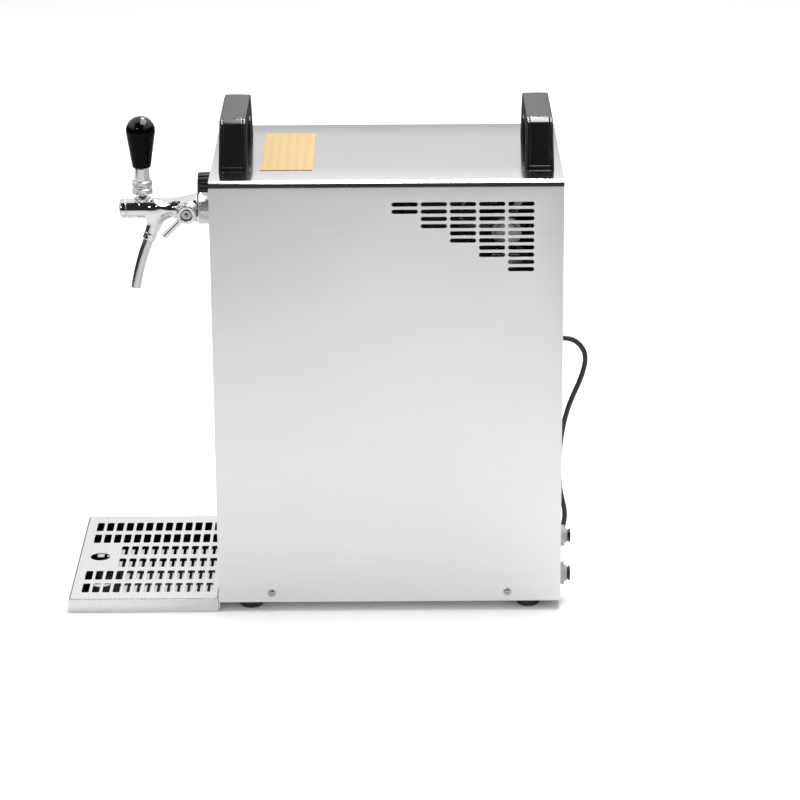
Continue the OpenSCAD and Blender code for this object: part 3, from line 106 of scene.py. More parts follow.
class Look:
    """A procedural material that is built up node by node on one principled shader."""

    def __init__(self, name, colour, roughness, metallic=0.0, coat=0.0, coat_roughness=0.05):
        self.material = bpy.data.materials.new(name)
        self.material.use_nodes = True
        self.tree = self.material.node_tree
        self.shader = self.tree.nodes["Principled BSDF"]
        self.colour = colour
        self.set("Base Color", (*colour, 1))
        self.set("Roughness", roughness)
        self.set("Metallic", metallic)
        self.set("Coat Weight", coat)
        self.set("Coat Roughness", coat_roughness)
        self.place = self.node("ShaderNodeTexCoord").outputs["Object"]

    def set(self, socket, value):
        self.shader.inputs[socket].default_value = value

    def drive(self, socket, source):
        self.link(source, self.shader.inputs[socket])

    def node(self, kind, **inputs):
        made = self.tree.nodes.new(kind)
        for socket, value in inputs.items():
            made.inputs[socket.replace("_", " ")].default_value = value
        return made

    def link(self, source, target):
        self.tree.links.new(source, target)

    def stretched(self, scale):
        """The object's own coordinates, scaled per axis."""
        mapping = self.node("ShaderNodeMapping", Scale=scale)
        self.link(self.place, mapping.inputs["Vector"])
        return mapping.outputs["Vector"]

    def noise(self, scale, stretch=(1, 1, 1), detail=4.0, distortion=0.0):
        made = self.node("ShaderNodeTexNoise", Scale=scale, Detail=detail, Roughness=0.55,
                         Distortion=distortion)
        self.link(self.stretched(stretch), made.inputs["Vector"])
        return made.outputs["Fac"]

    def facing(self):
        """The surface's outward direction, as outputs X, Y and Z."""
        parts = self.node("ShaderNodeSeparateXYZ")
        self.link(self.node("ShaderNodeNewGeometry").outputs["Normal"], parts.inputs["Vector"])
        return parts.outputs

    def combine(self, operation, *sources):
        """Sum, product and so on of patterns and numbers."""
        made = self.node("ShaderNodeMath")
        made.operation = operation
        for source, target in zip(sources, made.inputs):
            if isinstance(source, float):
                target.default_value = source
            else:
                self.link(source, target)
        return made.outputs["Value"]

    def cells(self, scale):
        made = self.node("ShaderNodeTexVoronoi", Scale=scale)
        self.link(self.place, made.inputs["Vector"])
        return made.outputs["Color"]

    def spread(self, source, low, high, start=0.3, end=0.7):
        """Maps a pattern to a range of values."""
        made = self.node("ShaderNodeMapRange", From_Min=start, From_Max=end, To_Min=low, To_Max=high)
        self.link(source, made.inputs["Value"])
        return made.outputs["Result"]

    def tint(self, source, dark, light, start=0.3, end=0.7):
        """Colours the surface from dark to light shares of its own colour by a pattern."""
        ramp = self.node("ShaderNodeValToRGB")
        stops = ramp.color_ramp.elements
        stops[0].position, stops[1].position = start, end
        stops[0].color = (*[c * dark for c in self.colour], 1)
        stops[1].color = (*[c * light for c in self.colour], 1)
        self.link(source, ramp.inputs["Fac"])
        self.drive("Base Color", ramp.outputs["Color"])

    def gloss(self, source, low, high):
        self.drive("Roughness", self.spread(source, low, high))

    def bump(self, source, depth, strength=1.0):
        made = self.node("ShaderNodeBump", Strength=strength, Distance=depth)
        self.link(source, made.inputs["Height"])
        self.drive("Normal", made.outputs["Normal"])
        return made


def sheet_metal(name, colour, low, high, grain, depth=0.000004):
    """Ground sheet metal: fine lines along one direction and cloudy differences in gloss."""
    look = Look(name, colour, (low + high) / 2, metallic=1.0)
    lines = look.noise(1.0, grain, detail=3.0)
    look.tint(lines, 0.97, 1.02)
    look.gloss(look.noise(1.0, [g * 0.7 for g in grain], detail=5.0), low, high)
    look.bump(lines, depth, 0.25)
    return look.material


def cover_metal():
    """The cover's sheet: satin on the upright sides, brighter on the top."""
    look = Look("cover_metal", (0.90, 0.905, 0.915), 0.3, metallic=1.0)
    grain = look.noise(1.0, (900, 14, 900), detail=3.0)
    look.tint(grain, 0.985, 1.01)
    level = look.spread(look.facing()["Z"], 0.38, 0.12, 0.03, 0.25)
    cloud = look.spread(look.noise(9.0, detail=3.0), -0.02, 0.02)
    look.drive("Roughness", look.combine("ADD", level, cloud))
    look.bump(grain, 0.000002, 0.2)
    return look.material


TRAY_CENTRE = (0.0, -0.2065, -0.1)
PAN_FLOOR_Z, PAN_RIM_Z = 0.0025, 0.0090
PAN_FALL = (-0.040, 0.0, 0.0)
PAN_POLISH = 0.04


def tray_metal():
    """Ground tray metal: a mirror on the pan's floor, shaded as if it fell slightly,
    and painted shade: a dark colour on the pan's inner faces."""
    look = Look("tray_metal", (0.76, 0.765, 0.77), 0.28, metallic=1.0)
    lines = look.noise(1.0, (12, 1300, 1300), detail=3.0)
    normal = look.node("ShaderNodeNewGeometry").outputs["Normal"]

    def vectors(operation, first, second):
        made = look.node("ShaderNodeVectorMath")
        made.operation = operation
        for source, target in ((first, made.inputs[0]), (second, made.inputs[1])):
            if isinstance(source, tuple):
                target.default_value = source
            else:
                look.link(source, target)
        return made

    from_centre = vectors("SUBTRACT", look.place, TRAY_CENTRE).outputs["Vector"]
    outward = vectors("DOT_PRODUCT", from_centre, normal).outputs["Value"]
    # Painted shade: faces that look in towards the pan's centre get 3 % of the metal's colour
    look.tint(look.spread(outward, 0.0, 1.0, -0.02, 0.0), 0.03, 1.0, 0.0, 1.0)
    place = look.node("ShaderNodeSeparateXYZ")
    look.link(look.place, place.inputs["Vector"])
    low = look.spread(place.outputs["Z"], 1.0, 0.0, PAN_FLOOR_Z, PAN_RIM_Z)
    mirror = look.combine("MULTIPLY", low, look.spread(look.facing()["Z"], 0.0, 1.0))
    rough = look.node("ShaderNodeMix", B=PAN_POLISH)
    look.link(mirror, rough.inputs["Factor"])
    look.link(look.spread(lines, 0.24, 0.34), rough.inputs["A"])
    look.drive("Roughness", rough.outputs["Result"])
    fall = vectors("SCALE", PAN_FALL, (0, 0, 0))
    look.link(mirror, fall.inputs["Scale"])
    grain = look.bump(lines, 0.000004, 0.25)
    look.link(vectors("ADD", normal, fall.outputs["Vector"]).outputs["Vector"], grain.inputs["Normal"])
    return look.material


def polished(name, colour, low=0.03, high=0.07):
    """Plated or polished metal with faint hand-polishing swirls."""
    look = Look(name, colour, low, metallic=1.0)
    swirl = look.noise(160, detail=5.0, distortion=1.5)
    look.tint(swirl, 0.98, 1.0)
    look.gloss(swirl, low, high)
    return look.material


def moulded(name, colour, low, high, grain=2600, depth=0.000006, coat=0.0):
    """Moulded plastic or rubber with a fine surface grain."""
    look = Look(name, colour, (low + high) / 2, coat=coat)
    fine = look.noise(grain, detail=2.0)
    broad = look.noise(35, detail=3.0)
    look.tint(broad, 0.85, 1.15)
    look.gloss(broad, low, high)
    look.bump(fine, depth, 0.3)
    return look.material


def veneer_wood():
    """Pale veneer with its grain along X."""
    look = Look("veneer_wood", (0.56, 0.385, 0.165), 0.6)
    rings = look.node("ShaderNodeTexWave", Scale=30, Distortion=5.0, Detail=3.0, Detail_Scale=1.2)
    rings.bands_direction = "Y"
    look.link(look.stretched((0.10, 1, 1)), rings.inputs["Vector"])
    fibre = look.noise(1.0, (22, 1100, 1100), detail=4.0)
    bands = look.spread(rings.outputs["Fac"], 0.55, 1.0, 0.0, 1.0)
    both = look.combine("MULTIPLY", bands, look.spread(fibre, 0.6, 1.0))
    look.tint(both, 0.90, 1.06, 0.3, 1.0)
    look.gloss(fibre, 0.55, 0.7)
    look.bump(fibre, 0.00002, 0.4)
    return look.material


def galvanised():
    """Zinc-coated sheet with its spangle."""
    look = Look("galvanised", (0.62, 0.63, 0.64), 0.4, metallic=0.9)
    spangle = look.cells(140)
    grey = look.node("ShaderNodeRGBToBW")
    look.link(spangle, grey.inputs["Color"])
    look.tint(grey.outputs["Val"], 0.88, 1.06, 0.1, 0.9)
    look.gloss(grey.outputs["Val"], 0.32, 0.48)
    return look.material


def handle_plastic():
    """Black moulding: glossy on its top and ends, with textured sides."""
    look = Look("handle_plastic", (0.008, 0.008, 0.009), 0.15)
    look.set("IOR", 1.7)
    side = look.combine("ABSOLUTE", look.facing()["Y"])
    look.drive("Roughness", look.spread(side, 0.12, 0.75, 0.25, 0.55))
    look.drive("Specular IOR Level", look.spread(side, 1.0, 0.05, 0.25, 0.55))
    look.tint(look.noise(35, detail=3.0), 0.8, 1.2)
    look.bump(look.noise(300, detail=1.0), 0.000002, 0.1)
    return look.material


def gloss_knob():
    """Dipped black gloss with a faint orange-peel surface."""
    look = Look("gloss_knob", (0.002, 0.002, 0.002), 0.06)
    look.drive("Specular IOR Level", look.spread(look.facing()["Z"], 0.06, 0.55, 0.30, 0.55))
    peel = look.noise(420, detail=2.0)
    look.tint(peel, 0.8, 1.2)
    look.gloss(peel, 0.05, 0.08)
    look.bump(peel, 0.00002, 0.15)
    return look.material


LOOKS = {
    "satin_steel": cover_metal(),
    "screw_steel": sheet_metal("screw_steel", (0.52, 0.52, 0.53), 0.16, 0.28, (700, 700, 60)),
    "tray_steel": tray_metal(),
    "spout_steel": sheet_metal("spout_steel", (0.60, 0.605, 0.61), 0.10, 0.18, (900, 900, 25)),
    "tap_chrome": polished("tap_chrome", (0.70, 0.705, 0.715)),
    "black_plastic": moulded("black_plastic", (0.010, 0.010, 0.011), 0.10, 0.17, coat=0.5),
    "dark_plastic": moulded("dark_plastic", (0.018, 0.018, 0.019), 0.34, 0.46, 1800, 0.00001),
    "grey_plastic": moulded("grey_plastic", (0.46, 0.465, 0.47), 0.32, 0.42, 1800, 0.00001),
    "rubber": moulded("rubber", (0.020, 0.020, 0.020), 0.60, 0.75, 1200, 0.00003),
    "cord_rubber": moulded("cord_rubber", (0.016, 0.016, 0.017), 0.36, 0.48, 900, 0.00002),
    "veneer": veneer_wood(),
    "pin_nickel": polished("pin_nickel", (0.78, 0.76, 0.71), 0.08, 0.16),
    "compressor_paint": moulded("compressor_paint", (0.015, 0.015, 0.016), 0.28, 0.40, 700, 0.00004),
    "fin_aluminium": sheet_metal("fin_aluminium", (0.70, 0.71, 0.72), 0.25, 0.4, (500, 500, 20)),
    "copper": polished("copper", (0.70, 0.36, 0.22), 0.18, 0.32),
    "galvanised": galvanised(),
    "foam": moulded("foam", (0.80, 0.77, 0.66), 0.8, 0.95, 500, 0.0003),
    "hose": moulded("hose", (0.70, 0.74, 0.76), 0.25, 0.35),
}


# Pieces

def finish_mesh(name, points, faces, slot, body, stands_for=(), crease=35, look=None):
    """Makes a shaded piece that rides on a body and stands for CAD nodes."""
    mesh = bpy.data.meshes.new(name)
    mesh.from_pydata([tuple(p) for p in points], [], faces)
    mesh.validate()
    mesh.polygons.foreach_set("use_smooth", [True] * len(mesh.polygons))
    mesh.set_sharp_from_angle(angle=math.radians(crease))
    piece = bpy.data.objects.new(name, mesh)
    bpy.context.scene.collection.objects.link(piece)
    piece.data.materials.append(look or LOOKS[slot])
    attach(piece, body)
    if stands_for:
        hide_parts(*stands_for)
    return piece


def placed(points, origin, axes=None):
    """Millimetre points around an origin, as metres in the part's frame."""
    points = np.asarray(points, float)
    if axes is not None:
        points = points @ np.array([list(a) for a in axes], float)
    return np.array(origin) + points * MM


def copies(points, faces, seats):
    """One mesh of several copies of a shape; a seat is (origin, axes)."""
    all_points, all_faces = [], []
    for origin, axes in seats:
        start = len(all_points)
        all_points.extend(placed(points, origin, axes))
        all_faces.extend(tuple(i + start for i in f) for f in faces)
    return all_points, all_faces


# Axes for turned pieces: which way the piece's own X, Y and Z (its axis) point
UPRIGHT = ((1, 0, 0), (0, 1, 0), (0, 0, 1))
FORWARD = ((1, 0, 0), (0, 0, 1), (0, -1, 0))
BACKWARD = ((-1, 0, 0), (0, 0, 1), (0, 1, 0))
SIDEWAYS = ((0, 1, 0), (0, 0, 1), (1, 0, 0))
HALF_TURN = ((-1, 0, 0), (0, -1, 0), (0, 0, 1))


def turned(profile, segments=96, closed=False, shape=None):
    """Points and faces of a turned piece. The profile is a list of (radius, height);
    shape(radius, height, angle) may change the radius, for knurls and flutes."""
    angles = [2 * math.pi * k / segments for k in range(segments)]
    points, rings = [], []
    for radius, height in profile:
        if radius <= 0:
            rings.append([len(points)])
            points.append((0, 0, height))
            continue
        start = len(points)
        for a in angles:
            r = shape(radius, height, a) if shape else radius
            points.append((r * math.cos(a), r * math.sin(a), height))
        rings.append(range(start, start + segments))
    faces = []
    pairs = list(zip(rings, rings[1:]))
    if closed:
        pairs.append((rings[-1], rings[0]))
    for low, high in pairs:
        for k in range(segments):
            n = (k + 1) % segments
            if len(low) == 1:
                faces.append((low[0], high[n], high[k]))
            elif len(high) == 1:
                faces.append((low[k], low[n], high[0]))
            else:
                faces.append((low[k], low[n], high[n], high[k]))
    return points, faces


def rounded(profile, radius, steps=4):
    """Rounds the inner corners of a profile."""
    out = [profile[0]]
    for before, corner, after in zip(profile, profile[1:], profile[2:]):
        a, c, b = (np.array(p, float) for p in (before, corner, after))
        reach = min(radius, 0.45 * np.linalg.norm(a - c), 0.45 * np.linalg.norm(b - c))
        start = c + (a - c) / np.linalg.norm(a - c) * reach
        end = c + (b - c) / np.linalg.norm(b - c) * reach
        for k in range(steps + 1):
            t = k / steps
            out.append(tuple((1 - t) ** 2 * start + 2 * t * (1 - t) * c + t ** 2 * end))
    out.append(profile[-1])
    return out


# Blended solids: distance functions in millimetres, turned into a fine net of quads

def union(a, b, blend=0.0):
    if blend <= 0:
        return np.minimum(a, b)
    h = np.clip(0.5 + 0.5 * (b - a) / blend, 0, 1)
    return b * (1 - h) + a * h - blend * h * (1 - h)


def without(a, b, blend=0.0):
    return -union(-a, b, blend)


def round_corner(a, b, edge):
    """Both of two distances, with the corner between them rounded."""
    u, v = a + edge, b + edge
    return np.minimum(np.maximum(u, v), 0) + np.hypot(np.maximum(u, 0), np.maximum(v, 0)) - edge


def rod(p, start, end, radius, end_radius=None, edge=0.0):
    """A rod or cone between two points."""
    start, axis = np.array(start, float), np.array(end, float) - np.array(start, float)
    length = np.linalg.norm(axis)
    axis = axis / length
    along = (p - start) @ axis
    away = np.linalg.norm(p - start - along[..., None] * axis, axis=-1)
    slope = ((radius if end_radius is None else end_radius) - radius) / length
    side = (away - radius - slope * np.clip(along, 0, length)) / math.hypot(1, slope)
    return round_corner(side, np.maximum(-along, along - length), edge)


def brick(p, low, high, edge=0.0):
    low, high = np.array(low, float), np.array(high, float)
    q = np.abs(p - (low + high) / 2) - (high - low) / 2 + edge
    return np.minimum(q.max(-1), 0) + np.linalg.norm(np.maximum(q, 0), axis=-1) - edge


def net(solid, low, high, step):
    """Points and quads of the surface where solid(p) is zero."""
    lines = [np.arange(low[i] - 2 * step, high[i] + 3 * step, step) for i in range(3)]
    grid = np.stack(np.meshgrid(*lines, indexing="ij"), axis=-1)
    value = solid(grid)
    inside = value < 0
    count = np.array(inside.shape) - 1
    corners = [(i, j, k) for i in (0, 1) for j in (0, 1) for k in (0, 1)]

    def at(array, corner):
        return array[tuple(slice(c, c + n) for c, n in zip(corner, count))]

    held = sum(at(inside, c).astype(int) for c in corners)
    active = (held > 0) & (held < 8)
    total, hits = np.zeros((*count, 3)), np.zeros(count)
    for a in corners:
        for axis in range(3):
            if a[axis]:
                continue
            b = tuple(1 if i == axis else a[i] for i in range(3))
            va, vb = at(value, a), at(value, b)
            crossed = (va < 0) != (vb < 0)
            share = np.where(crossed, va / np.where(crossed, va - vb, 1), 0)
            point = at(grid, a) + share[..., None] * (at(grid, b) - at(grid, a))
            total += point * crossed[..., None]
            hits += crossed
    points = total[active] / hits[active][:, None]
    nudge, rounds = 0.02, 4
    for _ in range(rounds):
        distance = solid(points)
        change = [solid(points + n) - solid(points - n) for n in nudge * np.eye(3)]
        slope = np.stack(change, axis=-1) / (2 * nudge)
        size = np.maximum((slope ** 2).sum(-1), 0.25)
        points = points - np.clip(distance / size, -step / 3, step / 3)[:, None] * slope
    index = -np.ones(count, int)
    index[active] = np.arange(len(points))
    faces = []
    for axis in range(3):
        u, v = (axis + 1) % 3, (axis + 2) % 3
        ahead = np.diff(inside.astype(int), axis=axis)
        for sign in (-1, 1):
            where = np.argwhere(ahead == sign)
            where = where[(where[:, u] > 0) & (where[:, v] > 0)]
            where = where[(where[:, u] < count[u]) & (where[:, v] < count[v])]
            ring = []
            for du, dv in ((-1, -1), (0, -1), (0, 0), (-1, 0)):
                cell = where.copy()
                cell[:, u] += du
                cell[:, v] += dv
                ring.append(index[tuple(cell.T)])
            quads = np.stack(ring if sign < 0 else ring[::-1], axis=1)
            faces.extend(tuple(int(i) for i in q) for q in quads)
    return points, faces


# Mains lead: the route of the CAD source, in millimetres

CORD_RADIUS = 3.1
CORD_ROUTE = [
    (0, 288.5, 291), (0, 290, 291), (0, 297.9, 289.8), (0, 305, 286.2), (0, 310.7, 280.5), (0, 314.4, 273.4),
    (0, 315.7, 265.4), (0, 314.8, 256.5), (0, 312, 245.5), (0, 307.5, 233), (0, 302, 220), (0, 297, 206.5),
    (0, 293, 192.5), (0, 290, 178), (0, 287.8, 163), (0, 286.4, 147), (0, 286, 130), (0, 286.4, 114),
    (0, 287.8, 99), (0, 290.5, 86), (0, 292.8, 75), (0, 293.2, 64), (0, 291.4, 53), (-2, 288.8, 42),
    (-7, 287, 31.5), (-15, 286.6, 22), (-25, 286.8, 14), (-37, 287, 8), (-51, 287.2, 4.8), (-66, 287.6, 4.2),
    (-84, 288.2, 4.2), (-104, 289, 4.2), (-124, 289.6, 4.2), (-144, 290, 4.2), (-166, 290, 4.2),
    (-184, 290, 4.2)]
COIL_INNER, COIL_STEP, COIL_TURNS, COIL_POINTS = 28.5, 6.8, 2.4, 36
CORD_TAIL = [
    (-226.8, 209.5, 11.6), (-224.9, 199.5, 13), (-223, 189.5, 14.9), (-221.4, 179.5, 16.8),
    (-220.4, 169.5, 18.2), (-220, 160, 18.8), (-220, 154, 18.8)]


def coil_points():
    """Inwards on the floor, up a layer in half a turn, and outwards again."""
    lead = 2 * CORD_RADIUS
    start = CORD_ROUTE[-1]
    outer = COIL_INNER + COIL_STEP * COIL_TURNS
    cx, cy = start[0] - lead, start[1] - outer
    whole = 2 * COIL_TURNS + 0.5
    out = []
    for i in range(round(whole * COIL_POINTS) + 1):
        t = min(i / COIL_POINTS, whole)
        s = min(max(2 * (t - COIL_TURNS), 0), 1)
        if t <= COIL_TURNS:
            radius = outer - COIL_STEP * t
        elif s < 1:
            radius = COIL_INNER - 0.5 * COIL_STEP * s * (1 - s)
        else:
            radius = COIL_INNER + COIL_STEP * (t - COIL_TURNS - 0.5)
        a = math.radians(90) + 2 * math.pi * t
        climb = COIL_STEP * s * s * (3 - 2 * s)
        out.append((cx + radius * math.cos(a), cy + radius * math.sin(a), start[2] + climb))
    a = math.radians(90) + 2 * math.pi * whole
    last = out[-1]
    for reach in (lead, 2 * lead):
        out.append((last[0] - reach * math.sin(a), last[1] + reach * math.cos(a), last[2]))
    return out


def smooth_line(points, steps):
    """A smooth curve through points."""
    p = [np.array(q, float) for q in points]
    out = []
    for i in range(len(p) - 1):
        a, b, c, d = p[max(i - 1, 0)], p[i], p[i + 1], p[min(i + 2, len(p) - 1)]
        for k in range(steps):
            s = k / steps
            out.append(0.5 * (2 * b + (c - a) * s + (2 * a - 5 * b + 4 * c - d) * s ** 2
                              + (3 * b - a - 3 * c + d) * s ** 3))
    return out + [p[-1]]


def make_cord():
    """The lead in one run: down the rear, along the floor, through the coil and up to the plug."""
    coil = coil_points()
    line = smooth_line(CORD_ROUTE, 4) + coil[:-2] + smooth_line(coil[-2:] + CORD_TAIL, 4)
    curve = bpy.data.curves.new("mains_lead", "CURVE")
    curve.dimensions = "3D"
    curve.bevel_depth = CORD_RADIUS * MM
    curve.bevel_resolution = 5
    curve.use_fill_caps = True
    spline = curve.splines.new("POLY")
    spline.points.add(len(line) - 1)
    for point, at in zip(spline.points, line):
        point.co = (*(np.array(at) * MM), 1)
    spline.use_smooth = True
    lead = bpy.data.objects.new("mains_lead", curve)
    bpy.context.scene.collection.objects.link(lead)
    curve.materials.append(LOOKS["cord_rubber"])
    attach(lead, "cabinet")
    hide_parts("power_cord", "cord_coil", "cord_tail")
    return lead


cord = make_cord()


# Tap

FRONT_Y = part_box("front_panel")[0].y
TAP = Vector((0, FRONT_Y, middle("tap_cap").z))
LEVER_Y = (middle("tap_knob").y - FRONT_Y) / MM
CONTROL_Y = (middle("control_spindle").y - FRONT_Y) / MM
BARREL_R = extent("tap_cap").x / 2
SHOULDER_R = extent("coupling_nut").x / 2 - 0.5
CAP_LENGTH = 8.0
BARREL_FRONT = (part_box("tap_cap")[0].y - FRONT_Y) / MM + CAP_LENGTH
HUB_R, HUB_X, SPINDLE_R = 11.4, 22.0, 4.0
LEVER_HUB_GAP, LEVER_HUB_L, LEVER_HUB_RECESS = 0.3, 8, 3.5
OUTLET_Y, OUTLET_TILT, OUTLET_L = -64.5, math.radians(22), 40.0
SPOUT_R, SPOUT_BORE, SPOUT_SOCKET = 6.0, 4.6, 6.0
VALVE_BORE, STEM_BORE, NUT_BORE = 7.2, 3.6, 9.8


def along_outlet(distance):
    """A point on the outlet branch's axis, from the tap's origin."""
    return (0, OUTLET_Y - distance * math.sin(OUTLET_TILT), -distance * math.cos(OUTLET_TILT))


def tap_shape(p):
    """The cast body: barrel, outlet branch, control hub, lever boss and tail, less its bores."""
    shoulder_front, shoulder_rear = -48, -21
    tail_rear, tail_r, flange_front, flange_r = -12, 9.6, -15, 11.5
    branch_r, branch_end_r, lip_l, lip_wall = 11.6, 7.4, 8, 1.8
    boss_r, boss_h, stem_room, stem_mouth = 9.5, 14, 5.6, 9.2
    seat_front, seat_rear, seat_wall, beyond = -54, -50.5, 3, -120
    body = rod(p, (0, shoulder_rear, 0), (0, shoulder_front, 0), SHOULDER_R, BARREL_R, edge=1.2)
    body = union(body, rod(p, (0, BARREL_FRONT, 0), (0, shoulder_front + 6, 0), BARREL_R), 3.0)
    branch = rod(p, along_outlet(-4), along_outlet(OUTLET_L - 6), branch_r, branch_end_r, edge=0.8)
    body = union(body, branch, 9.0)
    lip = rod(p, along_outlet(OUTLET_L - lip_l), along_outlet(OUTLET_L), SPOUT_R + lip_wall, edge=0.7)
    body = union(body, lip, 1.2)
    hub = rod(p, (0, CONTROL_Y, 0), (HUB_X, CONTROL_Y, 0), HUB_R, edge=0.7)
    body = union(body, hub, 3.0)
    boss = rod(p, (0, LEVER_Y, 0), (0, LEVER_Y, boss_h), boss_r, edge=0.8)
    body = union(body, boss, 2.0)
    body = union(body, rod(p, (0, shoulder_rear - 1, 0), (0, tail_rear, 0), tail_r))
    body = union(body, rod(p, (0, flange_front, 0), (0, tail_rear, 0), flange_r))
    for cut in (
            rod(p, (0, seat_rear, 0), (0, 0, 0), VALVE_BORE + 0.4),
            rod(p, (0, seat_front - 6, 0), (0, 0, 0), VALVE_BORE - seat_wall),
            rod(p, (0, beyond, 0), (0, seat_front, 0), VALVE_BORE),
            rod(p, (0, CONTROL_Y, 0), (HUB_X + 4, CONTROL_Y, 0), SPINDLE_R + 0.1),
            rod(p, (0, LEVER_Y, 0), (0, LEVER_Y, boss_h + 6), stem_room),
            rod(p, (0, LEVER_Y, boss_h - 3), (0, LEVER_Y, boss_h + 1), stem_room, stem_mouth),
            rod(p, along_outlet(0), along_outlet(OUTLET_L + 4), SPOUT_BORE),
            rod(p, along_outlet(OUTLET_L - SPOUT_SOCKET), along_outlet(OUTLET_L + 4), SPOUT_R + 0.1)):
        body = without(body, cut)
    return body


def make_tap_body():
    points, faces = net(tap_shape, (-18.5, -104, -47), (22, -12, 18.5), step=0.75)
    return finish_mesh("tap_casting", placed(points, TAP), faces, "tap_chrome", "cabinet", ["tap_body"],
                       crease=50)


KNURLED = polished("knurled_chrome", (0.74, 0.745, 0.755), 0.18, 0.28)
# The coupling nut's chrome is a darker copy of the tap's: painted shade for its knurl's facets
NUT_CHROME_PAINTED_SHADE = polished("nut_chrome_painted_shade", (0.62, 0.625, 0.635), 0.08, 0.14)


def knurled(pitch, depth, low, high, radius):
    """Radius of a diamond knurl between two heights."""
    teeth = round(2 * math.pi * radius / pitch)

    def shape(r, height, angle):
        if r < radius - 0.01 or not low < height < high:
            return r
        turn = teeth * angle / (2 * math.pi)
        rise = (height - low) / pitch
        u, v = (2 * ((turn + s * rise) % 1) - 1 for s in (1, -1))
        return r - depth * max(abs(u), abs(v))
    return shape, teeth


def knurled_ring(name, node, radius, bore, length, origin, axes, body, neck=None, pitch=1.5, look=None):
    """A ring with chamfered rims and a diamond-knurled band.
    The neck, if any, is (radius, length) beyond its far end."""
    rim, chamfer = 0.7, 0.12
    shape, teeth = knurled(pitch, 0.28 * pitch, rim + 0.1, length - rim - 0.1, radius)
    rows = max(round((length - 2 * rim) / pitch * 4), 8)
    profile = [(bore, 0), (radius - rim, 0), (radius - chamfer, rim * 0.8)]
    profile += [(radius, rim + (length - 2 * rim) * k / rows) for k in range(rows + 1)]
    profile += [(radius - chamfer, length - rim * 0.8), (radius - rim, length)]
    end = length
    if neck:
        profile += [(neck[0] + 0.3, length), (neck[0], length + 0.3), (neck[0], length + neck[1])]
        end = length + neck[1]
    profile += [(bore, end)]
    points, faces = turned(profile, teeth * 4, closed=True, shape=shape)
    return finish_mesh(name, placed(points, origin, axes), faces, "tap_chrome", body, [node],
                       crease=25, look=look or KNURLED)


def make_rings():
    """The coupling nut, and the two rings under the lever's ferrule."""
    low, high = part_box("coupling_nut")
    knurled_ring("coupling_nut_knurled", "coupling_nut", (high.x - low.x) / 2 / MM, NUT_BORE,
                 (high.y - low.y) / MM, (0, high.y, TAP.z), FORWARD, "cabinet", pitch=3.0, look=NUT_CHROME_PAINTED_SHADE)
    ring_r = extent("lever_lock_nut").x / 2
    ring_h = extent("lever_lock_nut").z
    lever = Vector((0, middle("tap_knob").y, 0))
    low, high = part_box("lever_collar")
    knurled_ring("lever_collar_knurled", "lever_collar", ring_r, STEM_BORE, ring_h,
                 lever + Vector((0, 0, low.z)), UPRIGHT, "tap_lever",
                 neck=(ring_r - 2.5, (high.z - low.z) / MM - ring_h))
    knurled_ring("lever_lock_nut_knurled", "lever_lock_nut", ring_r, STEM_BORE, ring_h,
                 lever + Vector((0, 0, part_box("lever_lock_nut")[0].z)), UPRIGHT, "tap_lever")


def make_tap_cap():
    """Front cap: a plug into the barrel, a rim flush with it and a shallow dish in its end."""
    low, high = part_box("tap_cap")
    plug_l = (high.y - low.y) / MM - CAP_LENGTH
    profile = [(0, -plug_l), (VALVE_BORE - 0.2, -plug_l)] if plug_l > 0.1 else [(0, 0)]
    dish = CAP_LENGTH - 0.9
    profile += [(VALVE_BORE - 0.2, 0), (BARREL_R, 0), (BARREL_R, CAP_LENGTH - 1.6),
                (BARREL_R - 2.4, CAP_LENGTH), (4.4, CAP_LENGTH), (3.6, dish), (0, dish)]
    points, faces = turned(rounded(profile, 1.1), 128)
    origin = (0, low.y + CAP_LENGTH * MM, TAP.z)
    return finish_mesh("tap_end_cap", placed(points, origin, FORWARD), faces, "tap_chrome", "cabinet",
                       ["tap_cap"])


def make_knob():
    """A cone that runs smoothly into a ball, with a hole for the stem."""
    radius, length = extent("tap_knob").x / 2, extent("tap_knob").z
    foot, rim, hole_depth = 10.8, 0.9, 20.0
    ball = length - radius
    lean = math.asin((radius - foot) / ball)
    profile = [(0, hole_depth), (STEM_BORE, hole_depth), (STEM_BORE, 0),
               (foot - 0.8, 0), (foot - 0.2, 0.25), (foot, rim)]
    start = (radius * math.cos(lean), ball - radius * math.sin(lean))
    steps = 14
    for k in range(1, steps):
        t = k / steps
        profile.append((foot + (start[0] - foot) * t, rim + (start[1] - rim) * t))
    bends = 28
    for k in range(bends):
        a = -lean + (math.pi / 2 + lean) * k / bends
        profile.append((radius * math.cos(a), ball + radius * math.sin(a)))
    profile.append((0, length))
    points, faces = turned(profile, 128)
    origin = (0, middle("tap_knob").y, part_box("tap_knob")[0].z)
    return finish_mesh("tap_grip", placed(points, origin), faces, "black_plastic", "tap_lever", ["tap_knob"],
                       look=gloss_knob())


def make_ferrule():
    """A slightly tapered sleeve; the extra rings on its wall keep the shading even."""
    height, radius, taper = extent("lever_ferrule").z, extent("lever_ferrule").x / 2, 0.7
    wall = [(radius - taper * t, height * t) for t in (0.0, 0.15, 0.85, 1.0)]
    profile = rounded([(STEM_BORE, 0)] + wall + [(STEM_BORE, height)], 0.6)
    points, faces = turned(profile, 128, closed=True)
    origin = (0, middle("lever_ferrule").y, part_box("lever_ferrule")[0].z)
    # The sleeve's chrome is a brighter copy of the tap's: painted light
    return finish_mesh("lever_sleeve", placed(points, origin), faces, "tap_chrome", "tap_lever",
                       ["lever_ferrule"], look=polished("sleeve_chrome_painted_light", (0.94, 0.94, 0.945)))


